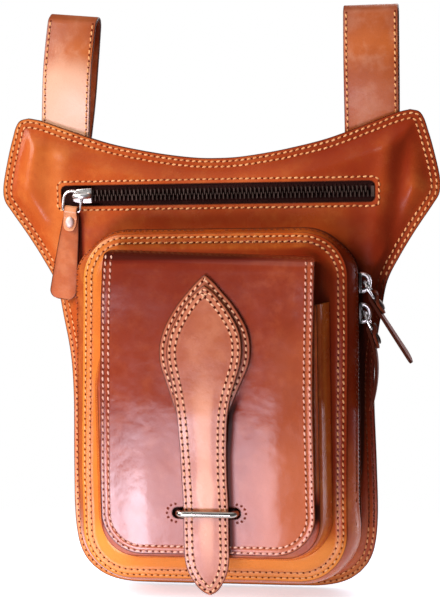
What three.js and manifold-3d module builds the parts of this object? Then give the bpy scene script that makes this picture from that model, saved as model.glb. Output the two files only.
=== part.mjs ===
// Belt bag: a flat leather body hung from two belt loops, with a zipped pocket on its front
// and a flap pocket on that. Millimetres. x runs across the bag, y through it with the front
// towards -y, and z up. Heights count from the underside of the belt loops' top folds, where
// a belt's top edge bears, and depths from the plane between the body's two panels.

import * as THREE from 'three';
import { mergeVertices } from 'three/addons/utils/BufferGeometryUtils.js';
import Module from 'manifold-3d';

const wasm = await Module();
wasm.setup();

// ---------------------------------------------------------------- driving sizes

const gap = 0.3; // clearance between neighbouring pieces

const body = {
  leather: 2, // thickness of both panels
  seam: 0.15, // half the clearance between the panels at their sewn rim
  rim: 3, // flat sewn border
  run: 6, // width over which the front panel rises from its border
  puff: 5, // how far the front panel stands off the back panel
  columnsAcross: [0, 0.13, 0.26, 0.39, 0.52, 0.64, 0.735, 0.81, 0.875, 0.945, 1],
  rowStep: 12, // longest step between rows of the front panel
};

// The body's outline, right half. The top edge dips between the ears.
const topEdge = [
  { x: 0, z: -74.5 },
  { x: 10, z: -74.2 },
  { x: 25, z: -72.4 },
  { x: 40, z: -69.7 },
  { x: 58, z: -65.5 },
  { x: 80, z: -57.9 },
  { x: 93.5, z: -53.1 },
  { x: 100, z: -51.7 },
];
const sideEdge = [
  { spot: 'ear top', x: 100, z: -51.7 },
  { spot: 'ear shoulder', x: 104.6, z: -52.9 },
  { spot: 'ear shoulder end', x: 107, z: -56.4 },
  { spot: 'ear flank', x: 108.5, z: -61 },
  { spot: 'ear flank', x: 111.5, z: -71.5 },
  { spot: 'widest', x: 115, z: -89 },
  { spot: 'ear lower corner', x: 114.3, z: -95 },
  { spot: 'ear underside', x: 111.4, z: -99.8 },
  { spot: 'armpit start', x: 102.4, z: -113 },
  { spot: 'armpit', x: 94.4, z: -126 },
  { spot: 'waist start', x: 87.6, z: -139.4 },
  { spot: 'waist', x: 84, z: -157.7 },
  { spot: 'hip', x: 81, z: -177 },
  { spot: 'narrowest', x: 80.1, z: -196 },
  { spot: 'side', x: 81, z: -235 },
  { spot: 'lower side', x: 81.3, z: -262 },
  { spot: 'corner start', x: 80.4, z: -274.5 },
  { spot: 'corner', x: 78.8, z: -282 },
  { spot: 'corner', x: 76, z: -288 },
  { spot: 'corner middle', x: 72, z: -292.8 },
];
const bottomEdge = [
  { x: 0, z: -301 },
  { x: 40, z: -301 },
  { x: 52, z: -300.6 },
  { x: 61, z: -298.9 },
  { x: 67, z: -296.4 },
  { x: 72, z: -292.8 },
];

// A soft valley runs down each ear, just outside the zip.
const earCrease = { x: 92.5, halfWidth: 5, depth: 2.4, top: -58, bottom: -132, fade: 14 };

const yokeZip = {
  halfLength: 82,
  top: -87.5,
  bottom: -98,
  cornerRadius: 2.5,
  tapeHalfLength: 82.6,
  tapeHalfWidth: 7.4,
  tapeThickness: 0.8,
  chainHalfWidth: 2.7,
  chainThickness: 1.7,
  stopLength: 1.6,
};

const pocket = {
  halfWidth: 69.5,
  top: -111.6,
  bottom: -290,
  topRadius: 22,
  bottomRadius: 25,
  frontY: -30, // front edge of the gusset
  wall: 1.7,
  baseSpread: 2, // how far the gusset's back edge stands outside its front edge
  bulge: 3.5, // how far its middle swells beyond that
  flange: 6, // sewn turnings at its back and front edges
  leather: 2,
  borderWidth: 6.5, // flat sewn border of the pocket's front
  domeStart: 12,
  domeRise: 1.5,
};

const pocketZip = {
  y: -16.5, // depth of the chain's middle
  slotHalfWidth: 4.6,
  end: -272, // height of the slot's two lower ends
  taper: 26, // length over which the slot closes
  tapeHalfWidth: 6.3,
  tapeThickness: 0.8,
  chainHalfWidth: 2.6,
  chainThickness: 1.6,
};

const flapPocket = {
  halfWidth: 55.5,
  top: -146,
  bottom: -273.5,
  radius: 18,
  frontY: -47.3,
  wall: 1.7,
  baseSpread: 4.5,
  flange: 6,
  leather: 1.9,
};

// The flap in sections from its sewn edge over the fold and down the front. y is its middle surface.
const flapThickness = 2;
const flapCornerRadius = 20;
const flapSections = [
  { spot: 'sewn edge', z: -131, y: -35.1, middle: 2.2, halfWidth: 49.4 },
  { spot: 'root', z: -124.5, y: -35.1, middle: 2.3, halfWidth: 49.8 },
  { spot: 'root bend', z: -122, y: -36.4, middle: 2.4, halfWidth: 50.2 },
  { spot: 'roof', z: -121.4, y: -40, middle: 2.5, halfWidth: 51 },
  { spot: 'roof front', z: -122.6, y: -46, middle: 2.5, halfWidth: 52 },
  { spot: 'fold', z: -125.6, y: -49.9, middle: 2.4, halfWidth: 52.5 },
  { spot: 'fold end', z: -130.5, y: -51.8, middle: 2.1, halfWidth: 52.7 },
  { spot: 'upper face', z: -148, y: -52.4, middle: 1.2, halfWidth: 53 },
  { spot: 'shoulder', z: -168, y: -53, middle: 0.5, halfWidth: 53 },
  { spot: 'face', z: -192, y: -53.5, middle: 0, halfWidth: 53.1 },
  { spot: 'face', z: -228, y: -53.6, middle: -0.4, halfWidth: 53.7 },
  { spot: 'lower face', z: -251, y: -52.9, middle: -0.5, halfWidth: 53.9 },
];
const flapEnd = { z: -271, y: -51.9 };
const flapEdgeDrop = { start: 30, width: 25, depth: 1.2, from: -131, over: 28 }; // its side edges lie back

// The spear-head patch and the strap on it, in sections from the tip down.
const backingThickness = 1.5;
const backingSections = [
  { z: -131, middle: 1.4, halfWidth: 0.6 },
  { z: -134.5, middle: 1.2, halfWidth: 4.6 },
  { z: -139.5, middle: 1, halfWidth: 9 },
  { z: -144.5, middle: 1, halfWidth: 13.2 },
  { z: -150.5, middle: 1, halfWidth: 17.2 },
  { z: -157.8, middle: 0.9, halfWidth: 20.8 },
  { z: -166.2, middle: 0.5, halfWidth: 22.6 },
  { z: -174.5, middle: 0.2, halfWidth: 22 },
  { z: -182, middle: -0.2, halfWidth: 19.4 },
  { z: -190.3, middle: -0.8, halfWidth: 16.2 },
  { z: -200, middle: -1.2, halfWidth: 12.6 },
];
const strapThickness = 1.8;
const strapSections = [
  { z: -135.6, middle: 1.3, halfWidth: 0.6, lift: 4 },
  { z: -139.5, middle: 1.1, halfWidth: 5, lift: 4 },
  { z: -144.5, middle: 1, halfWidth: 9.3, lift: 4 },
  { z: -150.5, middle: 1, halfWidth: 13.3, lift: 4 },
  { z: -157.8, middle: 0.9, halfWidth: 16.9, lift: 4 },
  { z: -166.2, middle: 0.5, halfWidth: 18.6, lift: 4 },
  { z: -174.5, middle: 0.2, halfWidth: 18, lift: 4 },
  { z: -182, middle: -0.2, halfWidth: 16.2, lift: 4 },
  { z: -190.3, middle: -0.8, halfWidth: 14.2, lift: 4 },
  { z: -200.8, middle: -1.1, halfWidth: 12.6, lift: 3.9 },
  { z: -210, middle: -1.2, halfWidth: 12, lift: 3 },
  { z: -220, middle: -1.2, halfWidth: 11.6, lift: 2.3 },
  { z: -233, middle: -1, halfWidth: 11.4, lift: 2.2 },
  { z: -243, middle: -0.7, halfWidth: 11.4, lift: 2.2 },
  { z: -252, middle: -0.7, halfWidth: 11.4, lift: 2.3 },
  { z: -262, middle: -0.8, halfWidth: 11.4, lift: 2.7 },
  { z: -272.5, middle: -0.7, halfWidth: 11.2, lift: 3.2 },
  { z: -279.5, middle: -0.4, halfWidth: 9.8, lift: 3.3 },
  { z: -285.5, middle: 0, halfWidth: 6.8, lift: 3.2 },
  { z: -289.2, middle: 0.3, halfWidth: 3.6, lift: 3 },
  { z: -290.8, middle: 0.4, halfWidth: 1, lift: 2.9 },
];

const keeper = { z: -249.2, halfWidth: 14.4, wireRadius: 1.7, reach: 8.3, bend: 2.6, plate: 0.8 };
const keeperSlot = { z: -249.6, halfLength: 18, halfWidth: 2.9 };

const slider = {
  halfLength: 5.1,
  halfWidth: 3.9,
  noseHalfWidth: 3,
  plate: 1.7,
  lip: 0.9, // how far its sides reach down beside the teeth
  bridgeHeight: 4.6, // above the plate
  bridgeSpan: 8.6,
  bridgeThickness: 1.5,
  bridgeHalfWidth: 0.9,
};
const ring = { halfWidth: 5.5, topRadius: 2.8, bottomRadius: 1.4, wireRadius: 0.75 };
const tab = {
  thickness: 1.5,
  eyeRadius: 1.15,
  foldLength: 14.5, // the short end in front, under the rivet
  topHalfWidth: 3.9,
  endHalfWidth: 7.4,
  foldClosed: 4, // where the short end has closed onto the long one
  rivetAt: 7.4,
  rivetRadius: 2.6,
  rivetStretch: 1.25, // the rivet's cap is longer than wide
};

const loop = {
  thickness: 2,
  beltGap: 7.1, // room for a belt's thickness
  tail: -92, // lower end, sewn behind the yoke
  sewnTop: -70,
};
// Where each loop leaves the yoke, its width, and how many degrees it leans towards the right.
const beltLoops = [
  { name: 'belt_loop_left', x: -80.4, width: 26, lean: 5.8 },
  { name: 'belt_loop_right', x: 80.4, width: 28, lean: 0 },
];

const backY = body.seam + body.leather; // outer face of the back panel
const rimY = -backY; // outer face of the front panel's border
const beltY = backY + gap + loop.thickness + loop.beltGap / 2; // middle of the belt
const plateauY = rimY - body.puff; // outer face of the front panel inside its border

// ---------------------------------------------------------------- small tools

const range = (count) => Array.from({ length: count }, (_, i) => i);
const radians = THREE.MathUtils.degToRad;
const smooth = (t) => THREE.MathUtils.smoothstep(t, 0, 1);

// Value of a column of a table where another column, which only grows or only falls, is `at`.
function read(table, key, column, at) {
  const falling = table[0][key] > table[table.length - 1][key] ? -1 : 1;
  let i = table.findIndex((row) => row[key] * falling >= at * falling);
  if (i < 0) i = table.length - 1;
  i = Math.max(i, 1);
  const share = (at - table[i - 1][key]) / (table[i][key] - table[i - 1][key]);
  return THREE.MathUtils.lerp(table[i - 1][column], table[i][column], THREE.MathUtils.clamp(share, 0, 1));
}

// A table's (x, z) rows as a smooth curve, with every gap between rows split into short steps.
function curveThrough(table, step) {
  const corners = table.map(({ x, z }) => new THREE.Vector3(x, 0, z));
  const curve = new THREE.CatmullRomCurve3(corners, false, 'centripetal');
  const last = table.length - 1;
  const points = range(last).flatMap((i) => {
    const steps = Math.max(1, Math.ceil(corners[i].distanceTo(corners[i + 1]) / step));
    return range(steps).map((k) => curve.getPoint((i + k / steps) / last));
  });
  return [...points, corners[last]].map(({ x, z }) => ({ x, z }));
}

// A closed body from corner points and triangles, turned so that its faces point out.
function closedBody(points, faces) {
  let volume = 0;
  for (let i = 0; i < faces.length; i += 3) {
    const [a, b, c] = [points[faces[i]], points[faces[i + 1]], points[faces[i + 2]]];
    volume += a.dot(new THREE.Vector3().crossVectors(b, c));
  }
  const geometry = new THREE.BufferGeometry();
  geometry.setAttribute('position', new THREE.Float32BufferAttribute(points.flatMap((p) => p.toArray()), 3));
  geometry.setIndex(volume < 0 ? [...faces].reverse() : faces);
  return geometry;
}

// A leather sheet between two grids of points, its front face and its back face.
function sheet(front, back) {
  const [rows, columns] = [front.length, front[0].length];
  const f = (j, i) => j * columns + i;
  const b = (j, i) => (rows + j) * columns + i;
  const faces = [];
  const quad = (p, q, r, s) => faces.push(p, q, r, p, r, s);
  const [lastRow, lastColumn] = [rows - 1, columns - 1];
  for (const j of range(lastRow)) {
    for (const i of range(lastColumn)) {
      quad(f(j, i), f(j, i + 1), f(j + 1, i + 1), f(j + 1, i));
      quad(b(j, i), b(j + 1, i), b(j + 1, i + 1), b(j, i + 1));
    }
    quad(f(j, 0), f(j + 1, 0), b(j + 1, 0), b(j, 0));
    quad(f(j, lastColumn), b(j, lastColumn), b(j + 1, lastColumn), f(j + 1, lastColumn));
  }
  for (const i of range(lastColumn)) {
    quad(f(0, i), b(0, i), b(0, i + 1), f(0, i + 1));
    quad(f(lastRow, i), f(lastRow, i + 1), b(lastRow, i + 1), b(lastRow, i));
  }
  return closedBody([...front.flat(), ...back.flat()], faces);
}

// A strip of leather: each row has its place in y and z, its middle and its half width along x.
// The rows may fold over. `drop(x)` lets the strip lie back away from its middle.
function strip(rows, { columns, thickness, drop = () => 0 }) {
  const face = (side) =>
    rows.map((row, j) => {
      const before = rows[Math.max(j - 1, 0)];
      const after = rows[Math.min(j + 1, rows.length - 1)];
      const along = new THREE.Vector2(after.y - before.y, after.z - before.z).normalize();
      return range(columns + 1).map((i) => {
        const x = (row.middle ?? 0) + row.halfWidth * ((2 * i) / columns - 1);
        const shift = (side * thickness) / 2;
        return new THREE.Vector3(x, row.y + along.y * shift + drop(x, row), row.z - along.x * shift);
      });
    });
  return sheet(face(1), face(-1));
}

// Carries a closed section along a path of stops, each with its place (x, z) and outward
// direction (nx, nz). A section corner has its offset outwards and its depth y.
function sweep(path, sectionAt, closed = false) {
  const sections = path.map((stop) => sectionAt(stop));
  const size = sections[0].length;
  const points = path.flatMap((stop, j) =>
    sections[j].map(({ out, y }) => new THREE.Vector3(stop.x + stop.nx * out, y, stop.z + stop.nz * out)),
  );
  const faces = [];
  for (const j of range(closed ? path.length : path.length - 1)) {
    const next = (j + 1) % path.length;
    for (const k of range(size)) {
      const [p, q] = [j * size + k, j * size + ((k + 1) % size)];
      const [r, s] = [next * size + ((k + 1) % size), next * size + k];
      faces.push(p, q, r, p, r, s);
    }
  }
  if (!closed) {
    const end = (path.length - 1) * size;
    const cap = (section) => {
      const outline = section.map(({ out, y }) => new THREE.Vector2(out, y));
      const turned = THREE.ShapeUtils.isClockWise(outline);
      return THREE.ShapeUtils.triangulateShape(turned ? outline.reverse() : outline, []).map((face) =>
        turned ? face.map((k) => size - 1 - k).reverse() : face,
      );
    };
    for (const [p, q, r] of cap(sections[0])) faces.push(r, q, p); // the start cap faces the other way
    for (const [p, q, r] of cap(sections[path.length - 1])) faces.push(end + p, end + q, end + r);
  }
  return closedBody(points, faces);
}

// A round wire's section.
const wireSection = (radius, sides) => () =>
  range(sides).map((k) => {
    const turn = (2 * Math.PI * (k + 0.5)) / sides;
    return { out: radius * Math.cos(turn), y: radius * Math.sin(turn) };
  });

// Stops round a rounded rectangle, seen from the front: up the right side, over and down the left.
function cornerArc(x, z, radius, from, steps) {
  return range(steps + 1).map((k) => {
    const turn = radians(from + (90 * k) / steps);
    const [nx, nz] = [Math.cos(turn), Math.sin(turn)];
    return { x: x + radius * nx, z: z + radius * nz, nx, nz };
  });
}
function roundedPath({ halfWidth, top, bottom, topRadius, bottomRadius }, steps) {
  return [
    ...cornerArc(halfWidth - bottomRadius, bottom + bottomRadius, bottomRadius, -90, steps),
    ...cornerArc(halfWidth - topRadius, top - topRadius, topRadius, 0, steps),
    ...cornerArc(topRadius - halfWidth, top - topRadius, topRadius, 90, steps),
    ...cornerArc(bottomRadius - halfWidth, bottom + bottomRadius, bottomRadius, 180, steps),
  ];
}

// A flat plate with the given outline in x and z, between two depths.
function plate(outline, fromY, toY) {
  const shape = new THREE.Shape(outline.map(({ x, z }) => new THREE.Vector2(x, z)));
  const geometry = new THREE.ExtrudeGeometry(shape, { depth: toY - fromY, bevelEnabled: false });
  return geometry.rotateX(Math.PI / 2).translate(0, toY, 0);
}

function bare(geometry) {
  geometry.deleteAttribute('normal');
  geometry.deleteAttribute('uv');
  return mergeVertices(geometry, 1e-4);
}
function solid(geometry) {
  const { attributes, index } = bare(geometry);
  const mesh = { numProp: 3, vertProperties: attributes.position.array, triVerts: new Uint32Array(index.array) };
  return new wasm.Manifold(new wasm.Mesh(mesh));
}
function asGeometry(manifold) {
  const { vertProperties, triVerts } = manifold.getMesh();
  const geometry = new THREE.BufferGeometry();
  geometry.setAttribute('position', new THREE.BufferAttribute(vertProperties, 3));
  geometry.setIndex(new THREE.BufferAttribute(triVerts, 1));
  return geometry;
}
const cut = (geometry, tool) => asGeometry(solid(geometry).subtract(solid(tool)));
const join = (geometry, other) => asGeometry(solid(geometry).add(solid(other)));

// ---------------------------------------------------------------- finishes

const finishes = {
  tan: { color: 0xb85a22, roughness: 0.4, metalness: 0 },
  oxblood: { color: 0x96421f, roughness: 0.35, metalness: 0 },
  honey: { color: 0xd0763a, roughness: 0.4, metalness: 0 },
  tape: { color: 0x3c2019, roughness: 0.85, metalness: 0 },
  gunmetal: { color: 0x5b4a44, roughness: 0.4, metalness: 0.9 },
  chrome: { color: 0xd7d7d2, roughness: 0.18, metalness: 1 },
};

const bag = new THREE.Group();
bag.position.y = -beltY;

function piece(name, finish, geometry, parent = bag) {
  const mesh = new THREE.Mesh(bare(geometry), new THREE.MeshStandardMaterial(finishes[finish]));
  mesh.name = name;
  parent.add(mesh);
  return mesh;
}

// ---------------------------------------------------------------- body

const sideRows = curveThrough(sideEdge, body.rowStep);
const [earTop, cornerMiddle] = [sideEdge[0], sideEdge[sideEdge.length - 1]];

// A point of the body's outline grid: `across` runs from -1 to 1 and `row` is a row of the side edge.
function bodyPoint(across, row) {
  const down = (row.z - earTop.z) / (cornerMiddle.z - earTop.z);
  const topShift = read(topEdge, 'x', 'z', Math.abs(across) * earTop.x) - earTop.z;
  const bottomShift = read(bottomEdge, 'x', 'z', Math.abs(across) * cornerMiddle.x) - cornerMiddle.z;
  return { x: across * row.x, z: row.z + (1 - down) * topShift + down * bottomShift };
}

const columns = [...body.columnsAcross.slice(1).map((u) => -u).reverse(), ...body.columnsAcross];
const bodyGrid = sideRows.map((row) => columns.map((across) => bodyPoint(across, row)));
const bodyOutline = [
  ...bodyGrid[0],
  ...bodyGrid.slice(1, -1).map((row) => row[row.length - 1]),
  ...[...bodyGrid[bodyGrid.length - 1]].reverse(),
  ...bodyGrid.slice(1, -1).map((row) => row[0]).reverse(),
];

function edgeDistance({ x, z }) {
  const point = new THREE.Vector3(x, 0, z);
  const nearest = new THREE.Vector3();
  return Math.min(
    ...bodyOutline.map((start, i) => {
      const end = bodyOutline[(i + 1) % bodyOutline.length];
      const side = new THREE.Line3(new THREE.Vector3(start.x, 0, start.z), new THREE.Vector3(end.x, 0, end.z));
      return side.closestPointToPoint(point, true, nearest).distanceTo(point);
    }),
  );
}

// How far the front panel stands off its border at a point.
function rise({ x, z }) {
  const { top, bottom, fade, depth, halfWidth } = earCrease;
  const within = smooth((top - z) / fade) * smooth((z - bottom) / fade);
  const valley = depth * within * Math.exp(-(((Math.abs(x) - earCrease.x) / halfWidth) ** 2));
  const height = body.puff * smooth((edgeDistance({ x, z }) - body.rim) / body.run);
  return height * (1 - valley / body.puff);
}

const panelFace = (y) => bodyGrid.map((row) => row.map((p) => new THREE.Vector3(p.x, y - rise(p), p.z)));
const zipWindow = roundedPath(
  {
    halfWidth: yokeZip.halfLength,
    top: yokeZip.top,
    bottom: yokeZip.bottom,
    topRadius: yokeZip.cornerRadius,
    bottomRadius: yokeZip.cornerRadius,
  },
  3,
);

piece('back_panel', 'tan', plate(bodyOutline, body.seam, backY));
piece(
  'front_panel',
  'tan',
  cut(sheet(panelFace(rimY), panelFace(-body.seam)), plate(zipWindow, plateauY - 2, -body.seam)),
);

// ---------------------------------------------------------------- yoke zip

function box(x, y, z) {
  const geometry = new THREE.BoxGeometry(x[1] - x[0], y[1] - y[0], z[1] - z[0]);
  return geometry.translate((x[0] + x[1]) / 2, (y[0] + y[1]) / 2, (z[0] + z[1]) / 2);
}

const yokeZipZ = (yokeZip.top + yokeZip.bottom) / 2;
const tapeFront = plateauY + body.leather + gap;
const chainBack = tapeFront - gap;
const chainFront = chainBack - yokeZip.chainThickness;
const across = (half) => [yokeZipZ - half, yokeZipZ + half];
const chainEnd = yokeZip.halfLength - gap - yokeZip.stopLength;
piece(
  'yoke_zip_tape',
  'tape',
  box(
    [-yokeZip.tapeHalfLength, yokeZip.tapeHalfLength],
    [tapeFront, tapeFront + yokeZip.tapeThickness],
    across(yokeZip.tapeHalfWidth),
  ),
);
piece(
  'yoke_zip_chain',
  'gunmetal',
  box([gap - yokeZip.halfLength, chainEnd - gap], [chainFront, chainBack], across(yokeZip.chainHalfWidth)),
);
piece(
  'yoke_end_stop',
  'gunmetal',
  box([chainEnd, chainEnd + yokeZip.stopLength], [chainFront - gap, chainBack], across(yokeZip.chainHalfWidth)),
);

// ---------------------------------------------------------------- front pocket

// Offset of the gusset's outer face from the pocket's outline at a depth: widest in its middle.
const gussetBackY = plateauY - gap;
const gussetMiddleY = (gussetBackY + pocket.frontY) / 2;
function gussetOut(y) {
  const fromMiddle = (y - gussetMiddleY) / (gussetBackY - gussetMiddleY);
  const spread = (pocket.baseSpread * (1 + fromMiddle)) / 2;
  return spread + pocket.bulge * (1 - fromMiddle ** 2);
}

const pocketPath = roundedPath(pocket, 6);
const gussetStops = range(7).map((k) => THREE.MathUtils.lerp(gussetBackY, pocket.frontY, k / 6));
const gussetSection = () => [
  ...gussetStops.map((y) => ({ out: gussetOut(y), y })),
  { out: -pocket.flange, y: pocket.frontY },
  { out: -pocket.flange, y: pocket.frontY + pocket.wall },
  ...[pocket.frontY + pocket.wall, ...gussetStops.slice(1, -1).reverse(), gussetBackY - pocket.wall].map((y) => ({
    out: gussetOut(y) - pocket.wall,
    y,
  })),
  { out: -pocket.flange, y: gussetBackY - pocket.wall },
  { out: -pocket.flange, y: gussetBackY },
];

// The zip's path: from a height low on one side up, over the top and down to the same on the other.
function zipPath(end) {
  const { halfWidth, bottom, bottomRadius } = pocket;
  const cornerZ = bottom + bottomRadius;
  const stopAt = (z, side) => {
    const turn = Math.asin(Math.max(0, cornerZ - z) / bottomRadius);
    const nx = side * Math.cos(turn);
    return { x: side * (halfWidth - bottomRadius) + bottomRadius * nx, z, nx, nz: -Math.sin(turn) };
  };
  const stops = range(5).map((k) => end + (k * pocketZip.taper) / 4);
  const over = pocketPath.filter(({ z }) => z > cornerZ + 1);
  return [...stops.map((z) => stopAt(z, 1)), ...over, ...stops.map((z) => stopAt(z, -1)).reverse()];
}
const slotWidthAt = ({ z }) =>
  pocketZip.slotHalfWidth * (0.12 + 0.88 * smooth((z - pocketZip.end) / pocketZip.taper));
const slotSection = (stop) => {
  const half = slotWidthAt(stop);
  return [
    { out: -pocket.flange, y: pocketZip.y - half },
    { out: 3 * pocket.bulge, y: pocketZip.y - half },
    { out: 3 * pocket.bulge, y: pocketZip.y + half },
    { out: -pocket.flange, y: pocketZip.y + half },
  ];
};
const slotTool = sweep(zipPath(pocketZip.end), slotSection);
piece('pocket_gusset', 'tan', cut(sweep(pocketPath, gussetSection, true), slotTool));

// Tape and chain lie just inside the gusset's wall and follow its swell.
function bandSection(halfWidth, outer, thickness) {
  const stops = [-1, 0, 1].map((share) => pocketZip.y - share * halfWidth);
  return () => [
    ...stops.map((y) => ({ out: outer(y), y })),
    ...[...stops].reverse().map((y) => ({ out: outer(y) - thickness, y })),
  ];
}
const tapeOut = (y) => gussetOut(y) - pocket.wall - 2 * gap; // the second gap clears the wall's flat facets
const chainOut = () => tapeOut(pocketZip.y) + gap + pocketZip.chainThickness;
piece(
  'pocket_zip_tape',
  'tape',
  sweep(zipPath(pocketZip.end - 2), bandSection(pocketZip.tapeHalfWidth, tapeOut, pocketZip.tapeThickness)),
);
const chainSection = () => {
  const half = pocketZip.chainHalfWidth;
  const [low, high] = [chainOut() - pocketZip.chainThickness, chainOut()];
  return [
    { out: low, y: pocketZip.y + half },
    { out: high, y: pocketZip.y + half },
    { out: high, y: pocketZip.y - half },
    { out: low, y: pocketZip.y - half },
  ];
};
piece('pocket_zip_chain', 'gunmetal', sweep(zipPath(pocketZip.end + pocketZip.taper), chainSection));

// The pocket's front is a rounded plate that rises inside its sewn border.
function domedPlate(path, innerY, thickness) {
  const steps = [
    { inset: pocket.domeStart, rise: pocket.domeRise },
    { inset: pocket.borderWidth, rise: 0 },
    { inset: 0, rise: 0 },
  ];
  const front = steps.map(({ inset, rise: lift }) => ({ inset, y: innerY - thickness - lift }));
  const back = [...steps].reverse().map(({ inset, rise: lift }) => ({ inset, y: innerY - lift }));
  const rings = [...front, ...back];
  const middleZ = (pocket.top + pocket.bottom) / 2;
  const points = rings.flatMap(({ inset, y }) =>
    path.map((stop) => new THREE.Vector3(stop.x - stop.nx * inset, y, stop.z - stop.nz * inset)),
  );
  const size = path.length;
  const [frontMiddle, backMiddle] = [points.length, points.length + 1];
  points.push(new THREE.Vector3(0, front[0].y, middleZ), new THREE.Vector3(0, back[back.length - 1].y, middleZ));
  const faces = [];
  for (const k of range(size)) {
    const next = (k + 1) % size;
    for (const j of range(rings.length - 1)) {
      const [p, q, r, s] = [j * size + k, (j + 1) * size + k, (j + 1) * size + next, j * size + next];
      faces.push(p, q, r, p, r, s);
    }
    const last = (rings.length - 1) * size;
    faces.push(frontMiddle, k, next, backMiddle, last + next, last + k);
  }
  return closedBody(points, faces);
}
const pocketFrontY = pocket.frontY - gap;
piece('pocket_front', 'tan', domedPlate(pocketPath, pocketFrontY, pocket.leather));

// ---------------------------------------------------------------- flap pocket

const pocketFaceY = pocketFrontY - pocket.leather - pocket.domeRise; // where the flap pocket is sewn on
const flapPocketBackY = pocketFaceY - gap;
const flapPocketPath = [
  { x: -flapPocket.halfWidth, z: flapPocket.top, nx: -1, nz: 0 },
  ...cornerArc(flapPocket.radius - flapPocket.halfWidth, flapPocket.bottom + flapPocket.radius, flapPocket.radius, 180, 5),
  ...cornerArc(flapPocket.halfWidth - flapPocket.radius, flapPocket.bottom + flapPocket.radius, flapPocket.radius, 270, 5),
  { x: flapPocket.halfWidth, z: flapPocket.top, nx: 1, nz: 0 },
];
const flapGussetSection = () => {
  const { baseSpread, flange, wall, frontY } = flapPocket;
  return [
    { out: -flange, y: flapPocketBackY },
    { out: baseSpread, y: flapPocketBackY },
    { out: baseSpread - 0.4, y: flapPocketBackY - 3 },
    { out: 0.6, y: frontY + 2 },
    { out: -0.4, y: frontY },
    { out: -flange, y: frontY },
    { out: -flange, y: frontY + wall },
    { out: 0.6 - wall, y: frontY + wall + 0.6 },
    { out: baseSpread - 0.4 - wall, y: flapPocketBackY - 3 },
    { out: baseSpread - 0.6 - wall, y: flapPocketBackY - wall },
    { out: -flange, y: flapPocketBackY - wall },
  ];
};
piece('flap_pocket_gusset', 'tan', sweep(flapPocketPath, flapGussetSection));
const flapPocketFaceY = flapPocket.frontY - gap - flapPocket.leather;
piece('flap_pocket_front', 'tan', plate(flapPocketPath, flapPocketFaceY, flapPocket.frontY - gap));

// ---------------------------------------------------------------- flap, patch and strap

const flapCorner = [20, 42, 62, 78, 90].map((degrees) => {
  const last = flapSections[flapSections.length - 1];
  const down = Math.sin(radians(degrees));
  return {
    z: THREE.MathUtils.lerp(last.z, flapEnd.z, down),
    y: THREE.MathUtils.lerp(last.y, flapEnd.y, down),
    middle: last.middle,
    halfWidth: last.halfWidth - flapCornerRadius * (1 - Math.cos(radians(degrees))),
  };
});
const flapRows = [...flapSections, ...flapCorner];
const flapFace = flapRows.slice(flapRows.findIndex(({ spot }) => spot === 'fold'));
function layBack(x, row) {
  const { start, width, depth, from, over } = flapEdgeDrop;
  return depth * smooth((Math.abs(x) - start) / width) * smooth((from - row.z) / over);
}
const slotEndX = keeperSlot.halfLength - keeperSlot.halfWidth;
const slotEdge = [-90, 0, 90, 180].flatMap((from) =>
  cornerArc(from < 90 ? slotEndX : -slotEndX, keeperSlot.z, keeperSlot.halfWidth, from, 4).slice(0, from % 180 ? 4 : 5),
);
const flapSheet = strip(flapRows, { columns: 10, thickness: flapThickness, drop: layBack });
piece('flap', 'oxblood', cut(flapSheet, plate(slotEdge, flapPocketFaceY - 8, flapPocketFaceY)));

const onFlap = (z, lift) => read(flapFace, 'z', 'y', z) - lift;
const backingLift = flapThickness / 2 + gap + backingThickness / 2;
const backingRows = backingSections.map((row) => ({ ...row, y: onFlap(row.z, backingLift) }));
piece('strap_backing', 'honey', strip(backingRows, { columns: 4, thickness: backingThickness }));
const strapRows = strapSections.map((row) => ({ ...row, y: onFlap(row.z, row.lift) }));
piece('closure_strap', 'honey', strip(strapRows, { columns: 4, thickness: strapThickness }));

// The keeper is a bar on two legs that stand on a thin plate. It is drawn lying down, then stood up.
function keeperLoop() {
  const { halfWidth, reach, bend, wireRadius, plate: base } = keeper;
  const [left, right] = [bend - halfWidth, halfWidth - bend];
  const path = [
    { x: halfWidth, z: base / 2, nx: 1, nz: 0 },
    ...cornerArc(right, reach - bend, bend, 0, 3),
    ...cornerArc(left, reach - bend, bend, 90, 3),
    { x: -halfWidth, z: base / 2, nx: -1, nz: 0 },
  ];
  const foot = box([-halfWidth - 2.2, halfWidth + 2.2], [-2.2, 2.2], [0, base]);
  return join(sweep(path, wireSection(wireRadius, 8)), foot)
    .rotateX(Math.PI / 2)
    .translate(0, flapPocketFaceY - gap, keeper.z);
}
piece('keeper_loop', 'chrome', keeperLoop());

// ---------------------------------------------------------------- sliders and pulls

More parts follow.
